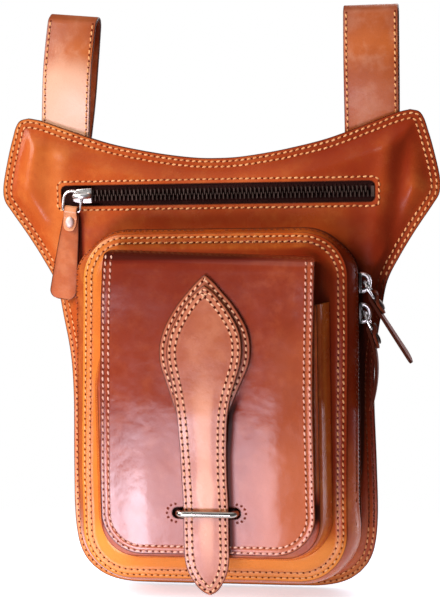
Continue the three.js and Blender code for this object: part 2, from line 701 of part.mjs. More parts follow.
// A slider with its underside at y = 0 and its run along x.
function sliderBody() {
  const { halfLength, halfWidth, noseHalfWidth, plate: top, lip } = slider;
  const plan = [
    { x: -halfLength, z: noseHalfWidth - 0.8 },
    { x: 0.8 - halfLength, z: noseHalfWidth },
    { x: 0, z: halfWidth },
    { x: halfLength - 1, z: halfWidth },
    { x: halfLength, z: halfWidth - 1 },
  ];
  const outline = [...plan, ...plan.map(({ x, z }) => ({ x, z: -z })).reverse()];
  const channel = box([-9, 9], [0, lip + 1], [-yokeZip.chainHalfWidth - gap, yokeZip.chainHalfWidth + gap]);
  return cut(plate(outline, -top, lip), channel);
}
function sliderBridge() {
  const { plate: top, bridgeHeight, bridgeSpan, bridgeThickness, bridgeHalfWidth } = slider;
  const sunk = 0.3; // the feet stand in the plate
  const arc = (inset) =>
    range(11).map((k) => {
      const turn = (Math.PI * k) / 10;
      const height = (bridgeHeight + sunk - inset) * Math.sin(turn) ** 0.7;
      return new THREE.Vector2((inset - bridgeSpan / 2) * Math.cos(turn), sunk - top - height);
    });
  const arch = new THREE.Shape([...arc(0), ...arc(bridgeThickness).reverse()]);
  const geometry = new THREE.ExtrudeGeometry(arch, { depth: 2 * bridgeHalfWidth, bevelEnabled: false });
  return geometry.translate(0, 0, -bridgeHalfWidth);
}
const ringY = -slider.plate - gap - ring.wireRadius - 0.2;

// A pull's ring lies in the x-z plane, its straight foot at z = 0.
const pullRing = (height) =>
  sweep(roundedPath({ ...ring, top: height, bottom: 0 }, 3), wireSection(ring.wireRadius, 6), true);

// A pull's tab: one strip from the short riveted end in front, up and round the ring's foot at
// the origin, and down behind. `bend(s)` is how far it has curved back, s below the ring.
function pullTab(length, bend) {
  const turnRadius = tab.eyeRadius + tab.thickness / 2;
  const pinch = turnRadius - tab.thickness - gap; // the short end closes onto the long one
  const widthAt = (s) => {
    const share = THREE.MathUtils.clamp(s / length, 0, 1);
    const roundEnd = Math.sqrt(Math.max(0, 1 - Math.max(0, (s - length + 5) / 5) ** 2));
    const full = THREE.MathUtils.lerp(tab.topHalfWidth, tab.endHalfWidth, share ** 0.7);
    return full * (0.35 + 0.65 * roundEnd);
  };
  const shortWidth = (s) => {
    const roundEnd = Math.sqrt(Math.max(0, 1 - Math.max(0, (s - tab.foldLength + 4) / 4) ** 2));
    return widthAt(s) * 0.86 * (0.3 + 0.7 * roundEnd);
  };
  const shortEnd = [tab.foldLength, 13.4, 11.4, 8.5, 5.5, 2.5].map((s) => ({
    y: -THREE.MathUtils.lerp(turnRadius, -pinch, smooth(s / tab.foldClosed)),
    z: -s,
    halfWidth: shortWidth(s),
  }));
  const turn = [180, 144, 108, 72, 36, 0].map((degrees) => ({
    y: turnRadius * Math.cos(radians(degrees)),
    z: turnRadius * Math.sin(radians(degrees)),
    halfWidth: tab.topHalfWidth,
  }));
  const longStops = [...range(8).map((k) => ((k + 1) * (length - 5)) / 8), length - 2, length - 0.5, length];
  const longEnd = longStops.map((s) => ({ y: turnRadius, z: -s, halfWidth: widthAt(s) }));
  const rows = [...shortEnd, ...turn, ...longEnd].map((row) => ({ ...row, y: row.y + bend(-row.z) }));
  return strip(rows, { columns: 2, thickness: tab.thickness });
}
function rivetCap(bend) {
  const profile = [
    [0, -1.2],
    [tab.rivetRadius * 0.72, -1],
    [tab.rivetRadius, -0.4],
    [tab.rivetRadius, 0],
    [0, 0],
  ].map(([x, y]) => new THREE.Vector2(x, y));
  const shortFace = tab.eyeRadius + tab.thickness / 2 - 2 * tab.thickness - gap + tab.thickness / 2;
  const slope = (bend(tab.rivetAt + 1) - bend(tab.rivetAt - 1)) / 2;
  return new THREE.LatheGeometry(profile, 12)
    .scale(1, 1, tab.rivetStretch)
    .rotateX(Math.atan(slope))
    .translate(0, shortFace - gap - 0.1 + bend(tab.rivetAt), -tab.rivetAt);
}

// One slider with its ring, tab and rivet, all in `frame`, whose -y points away from the teeth.
function pull(name, frame, { sliderTurn, pivot, foot, ringHeight, tilt, lean, length, bend = () => 0 }) {
  piece(`${name}_slider`, 'chrome', join(sliderBody(), sliderBridge()), frame).rotation.y = sliderTurn;
  const hanging = new THREE.Group();
  hanging.position.set(pivot.x, ringY, pivot.z);
  hanging.rotation.set(tilt, lean, 0);
  frame.add(hanging);
  for (const [part, finish, geometry] of [
    ['ring', 'chrome', pullRing(ringHeight)],
    ['tab', 'honey', pullTab(length, bend)],
    ['rivet', 'chrome', rivetCap(bend)],
  ]) {
    piece(`${name}_pull_${part}`, finish, geometry, hanging).position.set(foot.x, 0, foot.z);
  }
}

const yokeFrame = new THREE.Group();
yokeFrame.position.set(-70.3, chainFront - gap, yokeZipZ);
bag.add(yokeFrame);
pull('yoke', yokeFrame, {
  sliderTurn: 0,
  pivot: { x: 0, z: 0 },
  foot: { x: -5.4, z: -8.6 },
  ringHeight: 10.6,
  tilt: 0,
  lean: radians(7.4),
  length: 47,
});

// The pocket's sliders sit on its right wall, head to head, their pulls hanging outwards.
const wallX = pocket.halfWidth + chainOut() + gap;
function wallFrame(z) {
  const frame = new THREE.Group();
  frame.position.set(wallX, pocketZip.y, z);
  frame.rotation.z = Math.PI / 2;
  bag.add(frame);
  return frame;
}
pull('upper', wallFrame(-141), {
  sliderTurn: Math.PI / 2,
  pivot: { x: 0, z: 0.4 },
  foot: { x: 0, z: -9 },
  ringHeight: 9,
  tilt: radians(-31),
  lean: radians(-12),
  length: 40,
});
pull('lower', wallFrame(-155), {
  sliderTurn: -Math.PI / 2,
  pivot: { x: 0, z: 0.4 },
  foot: { x: 0, z: -9 },
  ringHeight: 9,
  tilt: radians(-24),
  lean: 0,
  length: 38,
  bend: (s) => 22 * (Math.max(0, s) / 44) ** 2,
});

// ---------------------------------------------------------------- belt loops

// A loop's side view: two layers that part round the belt and meet again where they are sewn.
function beltLoop(width) {
  const front = backY + gap;
  const backOuter = front + 2 * loop.thickness + loop.beltGap;
  const innerRadius = loop.beltGap / 2;
  const outerRadius = innerRadius + loop.thickness;
  const middle = (front + backOuter) / 2;
  const sewn = front + 2 * loop.thickness + 0.1;
  const fold = (radius, degrees) =>
    new THREE.Vector2(middle - radius * Math.cos(radians(degrees)), radius * Math.sin(radians(degrees)) - innerRadius);
  const turns = range(9).map((k) => (180 * k) / 8);
  const outside = [
    new THREE.Vector2(front, loop.tail),
    ...turns.map((degrees) => fold(outerRadius, degrees)),
    new THREE.Vector2(backOuter, -24),
    new THREE.Vector2(backOuter - 0.7, -42),
    new THREE.Vector2(backOuter - 3.4, -58),
    new THREE.Vector2(sewn + 0.6, loop.sewnTop),
    new THREE.Vector2(sewn, loop.sewnTop - 6),
    new THREE.Vector2(sewn, loop.tail),
  ];
  const inside = [
    ...turns.map((degrees) => fold(innerRadius, degrees)),
    new THREE.Vector2(backOuter - loop.thickness, -24),
    new THREE.Vector2(backOuter - 0.7 - loop.thickness, -42),
    new THREE.Vector2(backOuter - 3.6 - loop.thickness, -57),
    new THREE.Vector2(front + loop.thickness, loop.sewnTop + 1),
  ];
  const shape = new THREE.Shape(outside);
  shape.holes.push(new THREE.Path(inside.reverse()));
  const geometry = new THREE.ExtrudeGeometry(shape, { depth: width, bevelEnabled: false });
  // drawn in (y, z) and extruded along x
  return geometry.translate(0, 0, -width / 2).applyMatrix4(
    new THREE.Matrix4().makeBasis(
      new THREE.Vector3(0, 1, 0),
      new THREE.Vector3(0, 0, 1),
      new THREE.Vector3(1, 0, 0),
    ),
  );
}
for (const { name, x, width, lean } of beltLoops) {
  const strapLoop = piece(name, 'tan', beltLoop(width).translate(0, 0, -earTop.z));
  strapLoop.position.set(x, 0, earTop.z);
  strapLoop.rotation.y = radians(lean);
}

export default bag;
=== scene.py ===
import math

import bpy
import numpy as np
from mathutils import Matrix, Vector
from mathutils.bvhtree import BVHTree


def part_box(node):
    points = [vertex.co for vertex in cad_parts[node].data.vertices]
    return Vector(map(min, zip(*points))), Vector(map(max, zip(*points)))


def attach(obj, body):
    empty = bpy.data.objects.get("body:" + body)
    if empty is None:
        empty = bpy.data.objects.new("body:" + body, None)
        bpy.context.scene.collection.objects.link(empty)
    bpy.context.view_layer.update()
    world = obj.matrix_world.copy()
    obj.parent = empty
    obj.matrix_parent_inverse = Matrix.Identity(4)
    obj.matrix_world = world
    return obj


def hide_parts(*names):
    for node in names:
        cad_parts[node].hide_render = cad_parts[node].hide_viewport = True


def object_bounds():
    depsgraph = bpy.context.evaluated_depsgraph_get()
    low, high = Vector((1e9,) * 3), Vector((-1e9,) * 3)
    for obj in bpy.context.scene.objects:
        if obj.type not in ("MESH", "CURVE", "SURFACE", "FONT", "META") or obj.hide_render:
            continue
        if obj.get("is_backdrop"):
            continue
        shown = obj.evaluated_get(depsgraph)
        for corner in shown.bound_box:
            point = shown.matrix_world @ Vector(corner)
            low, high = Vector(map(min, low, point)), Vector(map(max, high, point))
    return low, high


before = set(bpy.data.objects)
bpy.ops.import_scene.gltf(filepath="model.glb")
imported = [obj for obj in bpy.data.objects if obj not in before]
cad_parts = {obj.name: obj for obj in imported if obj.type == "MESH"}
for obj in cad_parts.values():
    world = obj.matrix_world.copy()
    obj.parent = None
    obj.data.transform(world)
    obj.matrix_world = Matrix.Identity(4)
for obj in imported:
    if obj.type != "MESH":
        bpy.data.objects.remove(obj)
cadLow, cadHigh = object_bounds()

mm = 0.001
sideSteps = 400  # points along each side of a sheet's outline
luck = np.random.default_rng(7)  # every uneven stitch comes from here, the same each time
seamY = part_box("front_panel")[1].y / mm + 0.15  # the plane between the two panels; depths count from it


# small helpers

def deselectAll():
    if bpy.context.object and bpy.context.object.mode != "OBJECT":
        bpy.ops.object.mode_set(mode="OBJECT")
    bpy.ops.object.select_all(action="DESELECT")
    bpy.context.view_layer.objects.active = None


def makeActive(piece):
    deselectAll()
    piece.select_set(True)
    bpy.context.view_layer.objects.active = piece


def editMesh(piece, operator, everything=True, **values):
    # one edit-mode operator, on all of a mesh or on what is selected
    makeActive(piece)
    bpy.ops.object.mode_set(mode="EDIT")
    if everything:
        bpy.ops.mesh.select_all(action="SELECT")
    operator(**values)
    bpy.ops.object.mode_set(mode="OBJECT")


def readPoints(piece):
    co = np.empty(len(piece.data.vertices) * 3, np.float32)
    piece.data.vertices.foreach_get("co", co)
    return co.reshape(-1, 3).astype(float)


def surveyed(piece):
    # a piece's x, depth from the seam and z in millimetres, and its (x, z) together
    points = readPoints(piece) / mm
    return points[:, 0], points[:, 1] - seamY, points[:, 2], points[:, [0, 2]]


def writePoints(piece, points):
    piece.data.vertices.foreach_set("co", np.asarray(points, np.float32).ravel())
    piece.data.update()


def paint(piece, name, values):
    layer = piece.data.attributes.get(name) or piece.data.attributes.new(name, "FLOAT", "POINT")
    layer.data.foreach_set("value", np.asarray(values, np.float32))


def applyModifier(piece, kind, **values):
    makeActive(piece)
    modifier = piece.modifiers.new(kind.title(), kind)
    for key, value in values.items():
        setattr(modifier, key, value)
    bpy.ops.object.modifier_apply(modifier=modifier.name)


def ease(t):
    t = np.clip(t, 0, 1)
    return t * t * (3 - 2 * t)


def bump(t):  # 1 at 0, falling to 0 either side
    return np.exp(-t * t)


def spline(points, per=12):
    # a smooth run through the points
    points = np.asarray(points, float)
    run = np.vstack([2 * points[0] - points[1], points, 2 * points[-1] - points[-2]])
    parts = []
    for a, b, c, d in zip(run[:-3], run[1:-2], run[2:-1], run[3:]):
        ta = 0
        tb = ta + np.linalg.norm(b - a) ** 0.5
        tc = tb + np.linalg.norm(c - b) ** 0.5
        td = tc + np.linalg.norm(d - c) ** 0.5
        t = np.linspace(tb, tc, per, endpoint=False)[:, None]
        ab = (tb - t) / (tb - ta) * a + (t - ta) / (tb - ta) * b
        bc = (tc - t) / (tc - tb) * b + (t - tb) / (tc - tb) * c
        cd = (td - t) / (td - tc) * c + (t - tc) / (td - tc) * d
        abc = (tc - t) / (tc - ta) * ab + (t - ta) / (tc - ta) * bc
        bcd = (td - t) / (td - tb) * bc + (t - tb) / (td - tb) * cd
        parts.append((tc - t) / (tc - tb) * abc + (t - tb) / (tc - tb) * bcd)
    return np.vstack(parts + [points[-1:]])


def distances(points):
    return np.concatenate([[0], np.cumsum(np.linalg.norm(np.diff(points, axis=0), axis=1))])


def runLength(points):
    return float(distances(points)[-1])


def evenly(points, count):
    # the same run in equal steps
    points = np.asarray(points, float)
    along = distances(points)
    at = np.linspace(0, along[-1], count)
    return np.stack([np.interp(at, along, column) for column in points.T], axis=1)


def readRun(run, t):
    # each column of a run at the share t of the way along it
    return [np.interp(t, np.linspace(0, 1, len(run)), column) for column in run.T]


def unit(ways):
    return ways / np.linalg.norm(ways, axis=-1, keepdims=True)


def openRun(run):
    # a closed run that has lost a part now starts behind the gap
    gapAt = int(np.argmax(np.linalg.norm(np.diff(run, axis=0), axis=1)))
    return np.roll(run, -gapAt - 1, axis=0)


def fourSides(bottom, right, top, left):
    # bottom and top run from left to right, right and left from bottom to top
    return [evenly(side, sideSteps) for side in (bottom, right, top, left)]


def patch(sides, u, v):
    # points inside four sides
    bottom, right, top, left = [np.stack(readRun(side, t), axis=-1) for side, t in zip(sides, (u, v, u, v))]
    u, v = u[..., None], v[..., None]
    corners = (1 - u) * (1 - v) * sides[0][0] + u * (1 - v) * sides[0][-1]
    corners = corners + (1 - u) * v * sides[2][0] + u * v * sides[2][-1]
    return (1 - v) * bottom + v * top + (1 - u) * left + u * right - corners


def ringOf(sides):
    # the four sides as one closed run
    bottom, right, top, left = sides
    return np.vstack([bottom[:-1], right[:-1], top[::-1][:-1], left[::-1]])


def rimDistance(ring, points):
    # how far points lie from a closed run
    start, end = ring[:-1], ring[1:]
    side = end - start
    size = np.maximum((side**2).sum(1), 1e-12)
    found = np.empty(len(points))
    for k in range(0, len(points), 4000):
        part = points[k:k + 4000, None, :] - start[None]
        t = np.clip((part * side[None]).sum(2) / size, 0, 1)
        found[k:k + 4000] = np.sqrt(((part - t[..., None] * side[None]) ** 2).sum(2)).min(1)
    return found


def inset(ring, distance):
    # a closed run moved inwards; the run goes anticlockwise seen from the front
    ring = evenly(ring, 1200)[:-1]
    along = unit(np.roll(ring, -4, axis=0) - np.roll(ring, 4, axis=0))
    moved = ring + np.stack([-along[:, 1], along[:, 0]], axis=1) * distance
    return np.vstack([moved, moved[:1]])


def arc(x, z, radius, start, end, count=16):
    turn = np.radians(np.linspace(start, end, count))
    return np.stack([x + radius * np.cos(turn), z + radius * np.sin(turn)], axis=1)


def roundedSides(low, high, lowRadius, highRadius):
    (x0, z0), (x1, z1), r, q = low, high, lowRadius, highRadius
    bottom = np.vstack([arc(x0 + r, z0 + r, r, 225, 270), arc(x1 - r, z0 + r, r, 270, 315)])
    right = np.vstack([arc(x1 - r, z0 + r, r, 315, 360), arc(x1 - q, z1 - q, q, 0, 45)])
    top = np.vstack([arc(x0 + q, z1 - q, q, 135, 90), arc(x1 - q, z1 - q, q, 90, 45)])
    left = np.vstack([arc(x0 + r, z0 + r, r, 225, 180), arc(x0 + q, z1 - q, q, 180, 135)])
    return fourSides(bottom, right, top, left)


def addSheet(name, place, columns, rows):
    # a grid laid out by place(u, v), which gives the outer face
    deselectAll()
    bpy.ops.mesh.primitive_grid_add(x_subdivisions=columns, y_subdivisions=rows, size=2)
    piece = bpy.context.object
    piece.name = piece.data.name = name
    flat = readPoints(piece)
    x, y, z = place((flat[:, 0] + 1) / 2, (flat[:, 1] + 1) / 2)
    writePoints(piece, np.stack([x, y + seamY, z], axis=1) * mm)
    return piece


def roundEdges(piece, width):
    angle = math.radians(50)
    applyModifier(piece, "BEVEL", width=width * mm, segments=3, limit_method="ANGLE", angle_limit=angle)


def thicken(piece, thickness, rim=0.45):
    applyModifier(piece, "SOLIDIFY", thickness=thickness * mm, offset=-1, use_even_offset=True)
    roundEdges(piece, rim)


def closeSeams(piece):
    editMesh(piece, bpy.ops.mesh.remove_doubles, threshold=0.00001)
    editMesh(piece, bpy.ops.mesh.normals_make_consistent, inside=False)


def cutAway(piece, tool):
    applyModifier(piece, "BOOLEAN", operation="DIFFERENCE", object=tool, solver="EXACT")
    bpy.data.objects.remove(tool)


def addBlock(low, high, radius, segments=6):
    # a box with its edges along y rounded; low and high are corners
    deselectAll()
    low, high = np.array(low, float), np.array(high, float)
    bpy.ops.mesh.primitive_cube_add(size=1)
    block = bpy.context.object
    middle = (low + high) / 2 + np.array([0, seamY, 0])
    writePoints(block, (readPoints(block) * (high - low) + middle) * mm)
    editMesh(block, bpy.ops.mesh.select_all, everything=False, action="DESELECT")
    for edge in block.data.edges:
        a, b = (block.data.vertices[k].co for k in edge.vertices)
        edge.select = abs(a.y - b.y) > 0.5 * (high[1] - low[1]) * mm
    editMesh(block, bpy.ops.mesh.bevel, everything=False, offset=radius * mm, segments=segments, affect="EDGES")
    return block


def addTube(name, points, radius, closed=False, sides=5):
    # a round wire through the points, made as a bevelled curve
    deselectAll()
    curve = bpy.data.curves.new(name, "CURVE")
    curve.dimensions = "3D"
    curve.bevel_depth = radius * mm
    curve.bevel_resolution = sides
    curve.use_fill_caps = not closed
    line = curve.splines.new("POLY")
    line.points.add(len(points) - 1)
    for point, place in zip(line.points, points):
        point.co = (place[0] * mm, (place[1] + seamY) * mm, place[2] * mm, 1)
    line.use_cyclic_u = closed
    tube = bpy.data.objects.new(name, curve)
    bpy.context.scene.collection.objects.link(tube)
    makeActive(tube)
    bpy.ops.object.convert(target="MESH")
    tube = bpy.context.object
    closeSeams(tube)
    return tube


def joinInto(name, pieces):
    makeActive(pieces[0])
    for piece in pieces[1:]:
        piece.select_set(True)
    bpy.ops.object.join()
    joined = bpy.context.object
    joined.name = joined.data.name = name
    return joined


def finishPiece(piece, material, slot, *nodes, sharp=40):
    piece.data.materials.clear()
    piece.data.materials.append(material)
    makeActive(piece)
    bpy.ops.object.shade_smooth_by_angle(angle=math.radians(sharp))
    if nodes:
        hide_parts(*nodes)
    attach(piece, "root")


def dress(piece, rim, shadingAndTone, hide, slot, *nodes):
    # rim is how many millimetres a point is from a cut edge; the other value is painted shade below 0.5 and
    # painted light above it, with some of the leather's own colour variation
    paint(piece, "rim", rim)
    paint(piece, "shadingAndTone", shadingAndTone)
    finishPiece(piece, leather[hide], slot, *nodes)


# finishes

leathers = {
    "body": {
        "colour": (0.48, 0.080, 0.013), "deep": (0.20, 0.016, 0.005), "light": (0.80, 0.26, 0.055),
        "roughness": 0.25, "gloss": 0.23, "grain": 0.08, "creases": 0.12, "waves": 0.2,
    },
    "pocket": {
        "colour": (0.47, 0.077, 0.010), "deep": (0.23, 0.016, 0.004), "light": (0.88, 0.30, 0.045),
        "roughness": 0.25, "gloss": 0.23, "grain": 0.08, "creases": 0.12, "waves": 0.2,
    },
    "flap": {
        "colour": (0.27, 0.036, 0.011), "deep": (0.14, 0.011, 0.005), "light": (0.52, 0.13, 0.045),
        "roughness": 0.19, "gloss": 0.5, "grain": 0.05, "creases": 0.08, "waves": 0.16,
    },
    "strap": {
        "colour": (0.41, 0.105, 0.042), "deep": (0.22, 0.026, 0.008), "light": (0.72, 0.30, 0.16),
        "roughness": 0.25, "gloss": 0.45, "grain": 0.08, "creases": 0.12, "waves": 0.15,
    },
    "loop": {
        "colour": (0.52, 0.12, 0.020), "deep": (0.24, 0.035, 0.012), "light": (0.88, 0.50, 0.32),
        "roughness": 0.36, "gloss": 0.65, "grain": 0.10, "creases": 0.14, "waves": 0.1,
    },
    "pull": {
        "colour": (0.54, 0.115, 0.018), "deep": (0.13, 0.018, 0.006), "light": (0.84, 0.38, 0.18),
        "roughness": 0.34, "gloss": 0.4, "grain": 0.12, "creases": 0.16, "waves": 0.1,
    },
}
edgePaint = (0.055, 0.013, 0.007)
shadeBlack = (0.018, 0.006, 0.004)  # nearly black painted shade, for folds, gaps and slots in deep shadow


def newMaterial(name):
    material = bpy.data.materials.new(name)
    material.use_nodes = True
    return material, material.node_tree


def plug(tree, socket, value):
    # another node's output, a colour or a number goes into a socket
    if isinstance(value, bpy.types.NodeSocket):
        tree.links.new(value, socket)
    else:
        socket.default_value = (*value, 1) if socket.type == "RGBA" else value


def addNode(tree, kind, **values):
    # each value is one of the node's settings or goes into one of its inputs
    node = tree.nodes.new("ShaderNode" + kind)
    for key, value in values.items():
        if hasattr(node, key):
            setattr(node, key, value)
        else:
            plug(tree, node.inputs[key.replace("_", " ")], value)
    return node


def setSurface(tree, **values):
    for key, value in values.items():
        plug(tree, tree.nodes["Principled BSDF"].inputs[key.replace("_", " ")], value)


def objectPlace(tree):
    return addNode(tree, "TexCoord").outputs["Object"]


def attribute(tree, word):
    return addNode(tree, "Attribute", attribute_name=word).outputs["Fac"]


def noise(tree, scale, detail, rough=0.5, distortion=0.0):
    node = addNode(tree, "TexNoise", Scale=scale, Detail=detail, Roughness=rough, Distortion=distortion)
    plug(tree, node.inputs["Vector"], objectPlace(tree))
    return node.outputs["Fac"]


def mixColour(tree, amount, first, second, blend="MIX"):
    mix = addNode(tree, "Mix", data_type="RGBA", blend_type=blend)
    for k, value in ((0, amount), (6, first), (7, second)):
        plug(tree, mix.inputs[k], value)
    return mix.outputs[2]


def ramp(tree, value, low, high, toLow=0.0, toHigh=1.0):
    node = addNode(tree, "MapRange", interpolation_type="SMOOTHSTEP", Value=value)
    for key, number in (("From Min", low), ("From Max", high), ("To Min", toLow), ("To Max", toHigh)):
        node.inputs[key].default_value = number
    return node.outputs["Result"]


def maths(tree, operation, first, second):
    node = addNode(tree, "Math", operation=operation)
    for k, value in enumerate((first, second)):
        plug(tree, node.inputs[k], value)
    return node.outputs[0]


def raised(tree, height, strength, distance, below=None):
    # a bump, on top of another one if there is one below
    node = addNode(tree, "Bump", Height=height, Strength=strength, Distance=distance)
    if below is not None:
        plug(tree, node.inputs["Normal"], below)
    return node.outputs["Normal"]


def makeLeather(name, values):
    material, tree = newMaterial(name + "_hide")
    shadingAndTone, rim = attribute(tree, "shadingAndTone"), attribute(tree, "rim")
    clouds = ramp(tree, noise(tree, 26, 4, 0.6, 0.6), 0.35, 0.72)
    blotches = ramp(tree, noise(tree, 95, 5, 0.62), 0.38, 0.75)
    colour = values["colour"]
    # clouds and blotches are the leather's own colour; the attribute painted per piece mixes in painted shade
    # (the deep colour, then nearly black) and painted light, and painted shade also dulls the gloss
    for source, start, end, most, other in (
        (clouds, 0, 1, 0.32, values["deep"]),
        (blotches, 0, 1, 0.22, values["light"]),
        (shadingAndTone, 0.5, 0.0, 0.85, values["deep"]),
        (shadingAndTone, 0.5, 1.0, 0.9, values["light"]),
        (shadingAndTone, 0.0, -0.5, 0.9, shadeBlack),
    ):
        colour = mixColour(tree, ramp(tree, source, start, end, 0.0, most), colour, other)
    pores = ramp(tree, noise(tree, 1900, 3, 0.7), 0.3, 0.5, 0.75, 1.0)
    colour = mixColour(tree, 0.5, colour, pores, "MULTIPLY")
    colour = mixColour(tree, ramp(tree, rim, 0.75, 0.1, 0.0, 0.9), colour, edgePaint)
    uneven = ramp(tree, noise(tree, 60, 6, 0.65), 0.3, 0.75, -0.04, 0.06)
    rough = maths(tree, "ADD", uneven, values["roughness"])
    gloss = ramp(tree, rim, 0.1, 0.8, values["gloss"] * 0.25, values["gloss"])
    shine = maths(tree, "MULTIPLY", gloss, ramp(tree, shadingAndTone, -0.3, 0.45, 0.1, 1.0))
    grain = addNode(tree, "TexVoronoi", Scale=1150, Vector=objectPlace(tree)).outputs["Distance"]
    fine = raised(tree, grain, values["grain"], 0.00012)
    creases = raised(tree, noise(tree, 240, 6, 0.6, 0.4), values["creases"], 0.0006, fine)
    waves = raised(tree, noise(tree, 34, 3, 0.5), values["waves"], 0.004, creases)
    setSurface(tree, Base_Color=colour, Roughness=rough, Specular_IOR_Level=shine, Normal=waves)
    return material


def makeThread(name, colour, dark, gloss=0.3):
    material, tree = newMaterial(name)
    mixed = mixColour(tree, attribute(tree, "shade"), colour, dark)
    strands = raised(tree, noise(tree, 2600, 2), 0.5, 0.0001)
    setSurface(tree, Base_Color=mixed, Roughness=0.6, Specular_IOR_Level=gloss, Normal=strands)
    return material


def makeMetal(name, colour, roughness, wear, darkest=0.05):
    material, tree = newMaterial(name)
    rub = noise(tree, 160, 3)
    worn = mixColour(tree, ramp(tree, rub, 0.45, 0.75, 0, wear), colour, [c * 0.45 for c in colour])
    mixed = mixColour(tree, attribute(tree, "shade"), worn, [c * darkest for c in colour])
    rough = ramp(tree, rub, 0.3, 0.75, roughness * 0.8, roughness * 1.6)
    setSurface(tree, Base_Color=mixed, Roughness=rough, Metallic=1)
    return material


def makeTape(name):
    material, tree = newMaterial(name)
    weave = addNode(tree, "TexWave", Scale=900, Distortion=1.5, Vector=objectPlace(tree)).outputs["Fac"]
    mixed = mixColour(tree, weave, (0.045, 0.011, 0.008), (0.018, 0.005, 0.004))
    ribs = raised(tree, weave, 0.6, 0.0003)
    setSurface(tree, Base_Color=mixed, Roughness=0.85, Specular_IOR_Level=0.15, Normal=ribs)
    return material


leather = {name: makeLeather(name, values) for name, values in leathers.items()}
thread = makeThread("thread", (0.84, 0.42, 0.17), (0.60, 0.21, 0.06))
paleThread = makeThread("pale_thread", (0.80, 0.46, 0.34), (0.55, 0.22, 0.14))
strapThread = makeThread("strap_thread", (0.80, 0.44, 0.26), (0.62, 0.28, 0.14))
# dark thread, as painted shade for rows that lie in shadow
shadedThread = makeThread("shaded_thread", (0.20, 0.045, 0.016), (0.11, 0.02, 0.008), 0.1)
needleHole = makeThread("needle_hole", (0.20, 0.034, 0.012), (0.09, 0.014, 0.006), 0.0)
strapHole = makeThread("strap_hole", (0.09, 0.014, 0.006), (0.05, 0.008, 0.004), 0.0)
steel = makeMetal("steel", (0.92, 0.91, 0.90), 0.3, 0.12)
barSteel = makeMetal("bar_steel", (0.50, 0.47, 0.43), 0.2, 0.05)
# metal, tinted pink as a painted reflection of the leather around it
rivetMetal = makeMetal("rivet_metal", (0.84, 0.66, 0.60), 0.55, 0.2)
teethMetal = makeMetal("teeth_metal", (0.10, 0.068, 0.055), 0.45, 0.5, 0.4)
tapeCloth = makeTape("tape_cloth")
print("finishes made")


# stitches: one stitch and one needle hole are modelled once, then copied along each row

stitch = {
    "pitch": 3.2, "length": 2.2, "width": 1.0, "height": 0.6, "slant": 13, "hole": 0.52, "wideHole": 0.68,
    "wander": 0.06, "turn": 0.05, "longestStep": 1.6,
}


def shapeOf(one):
    # a piece's points and faces; the piece itself goes
    shape = readPoints(one), [list(face.vertices) for face in one.data.polygons]
    bpy.data.objects.remove(one)
    return shape


def modelStitch():
    deselectAll()
    bpy.ops.mesh.primitive_uv_sphere_add(segments=8, ring_count=6, radius=0.5)
    one = bpy.context.object
    one.rotation_euler = (0, math.radians(90), 0)
    bpy.ops.object.transform_apply(rotation=True)
    one.scale = (stitch["length"] * mm, stitch["width"] * mm, stitch["height"] * mm)
    bpy.ops.object.transform_apply(scale=True)
    return shapeOf(one)


def modelHole(radius):
    deselectAll()
    bpy.ops.mesh.primitive_circle_add(vertices=8, radius=radius * mm, fill_type="NGON")
    return shapeOf(bpy.context.object)


stitchShape, holeShape, wideHole = modelStitch(), modelHole(stitch["hole"]), modelHole(stitch["wideHole"])


def copyAlong(name, shape, frames, lift):
    # every frame is a place, a direction along the row, and the way out of the leather
    points, faces = shape
    allPoints, allFaces, shades = [], [], []
    for place, along, out in frames:
        side = unit(np.cross(out, along))
        along = np.cross(side, out)
        turned = points[:, :1] * along + points[:, 1:2] * side + (points[:, 2:3] + lift * mm) * out
        start = len(allPoints) * len(points)
        allPoints.append(turned + place)
        allFaces += [[start + k for k in face] for face in faces]
        shades.append(np.full(len(points), luck.uniform(0, 0.75)))
    mesh = bpy.data.meshes.new(name)
    mesh.from_pydata(np.vstack(allPoints).tolist(), [], allFaces)
    piece = bpy.data.objects.new(name, mesh)
    bpy.context.scene.collection.objects.link(piece)
    paint(piece, "shade", np.concatenate(shades))
    return piece


def surfaceOf(piece, side=-1):
    # finds the leather at a point (x, z), from the front, or from behind where side is 1
    bpy.context.view_layer.update()
    tree = BVHTree.FromObject(piece, bpy.context.evaluated_depsgraph_get())

    def drop(x, z):
        place, out, _, _ = tree.ray_cast(Vector((x * mm, 0.2 * side, z * mm)), Vector((0, -side, 0)))
        return None if place is None else (np.array(place), np.array(out))
    return drop


def rowFrames(run, drop, pitch):
    # stitches, and needle holes between them, along a run of (x, z) points on a piece
    steps = evenly(run, 2 * max(2, round(runLength(run) / pitch)) + 1)
    sewn, holes = [], []
    for k, step in enumerate(steps):
        hit, ahead, behind = drop(*step), drop(*steps[min(k + 1, len(steps) - 1)]), drop(*steps[max(k - 1, 0)])
        if hit is None or ahead is None or behind is None:
            continue
        along = ahead[0] - behind[0]
        if np.linalg.norm(along) > stitch["longestStep"] * pitch * mm:  # the row has stepped off its piece
            continue
        along, out = unit(along), hit[1]
        side = np.cross(out, along)
        place = hit[0] + side * luck.normal(0, stitch["wander"]) * mm
        if k % 2:
            angle = math.radians(stitch["slant"]) + luck.normal(0, stitch["turn"])
            sewn.append((place, along * math.cos(angle) + side * math.sin(angle), out))
        else:
            holes.append((place, along, out))
    return sewn, holes


def sew(name, rows, drop, material, slot, pitch=stitch["pitch"], hole=holeShape, holeMaterial=needleHole):
    sewn, holes = [], []
    for run in rows:
        one, other = rowFrames(run, drop, pitch)
        sewn += one
        holes += other
    finishPiece(copyAlong(name, stitchShape, sewn, 0.1), material, slot)
    finishPiece(copyAlong(name + "_holes", hole, holes, 0.12), holeMaterial, slot)
    print(name, len(sewn), "stitches")


# body panels

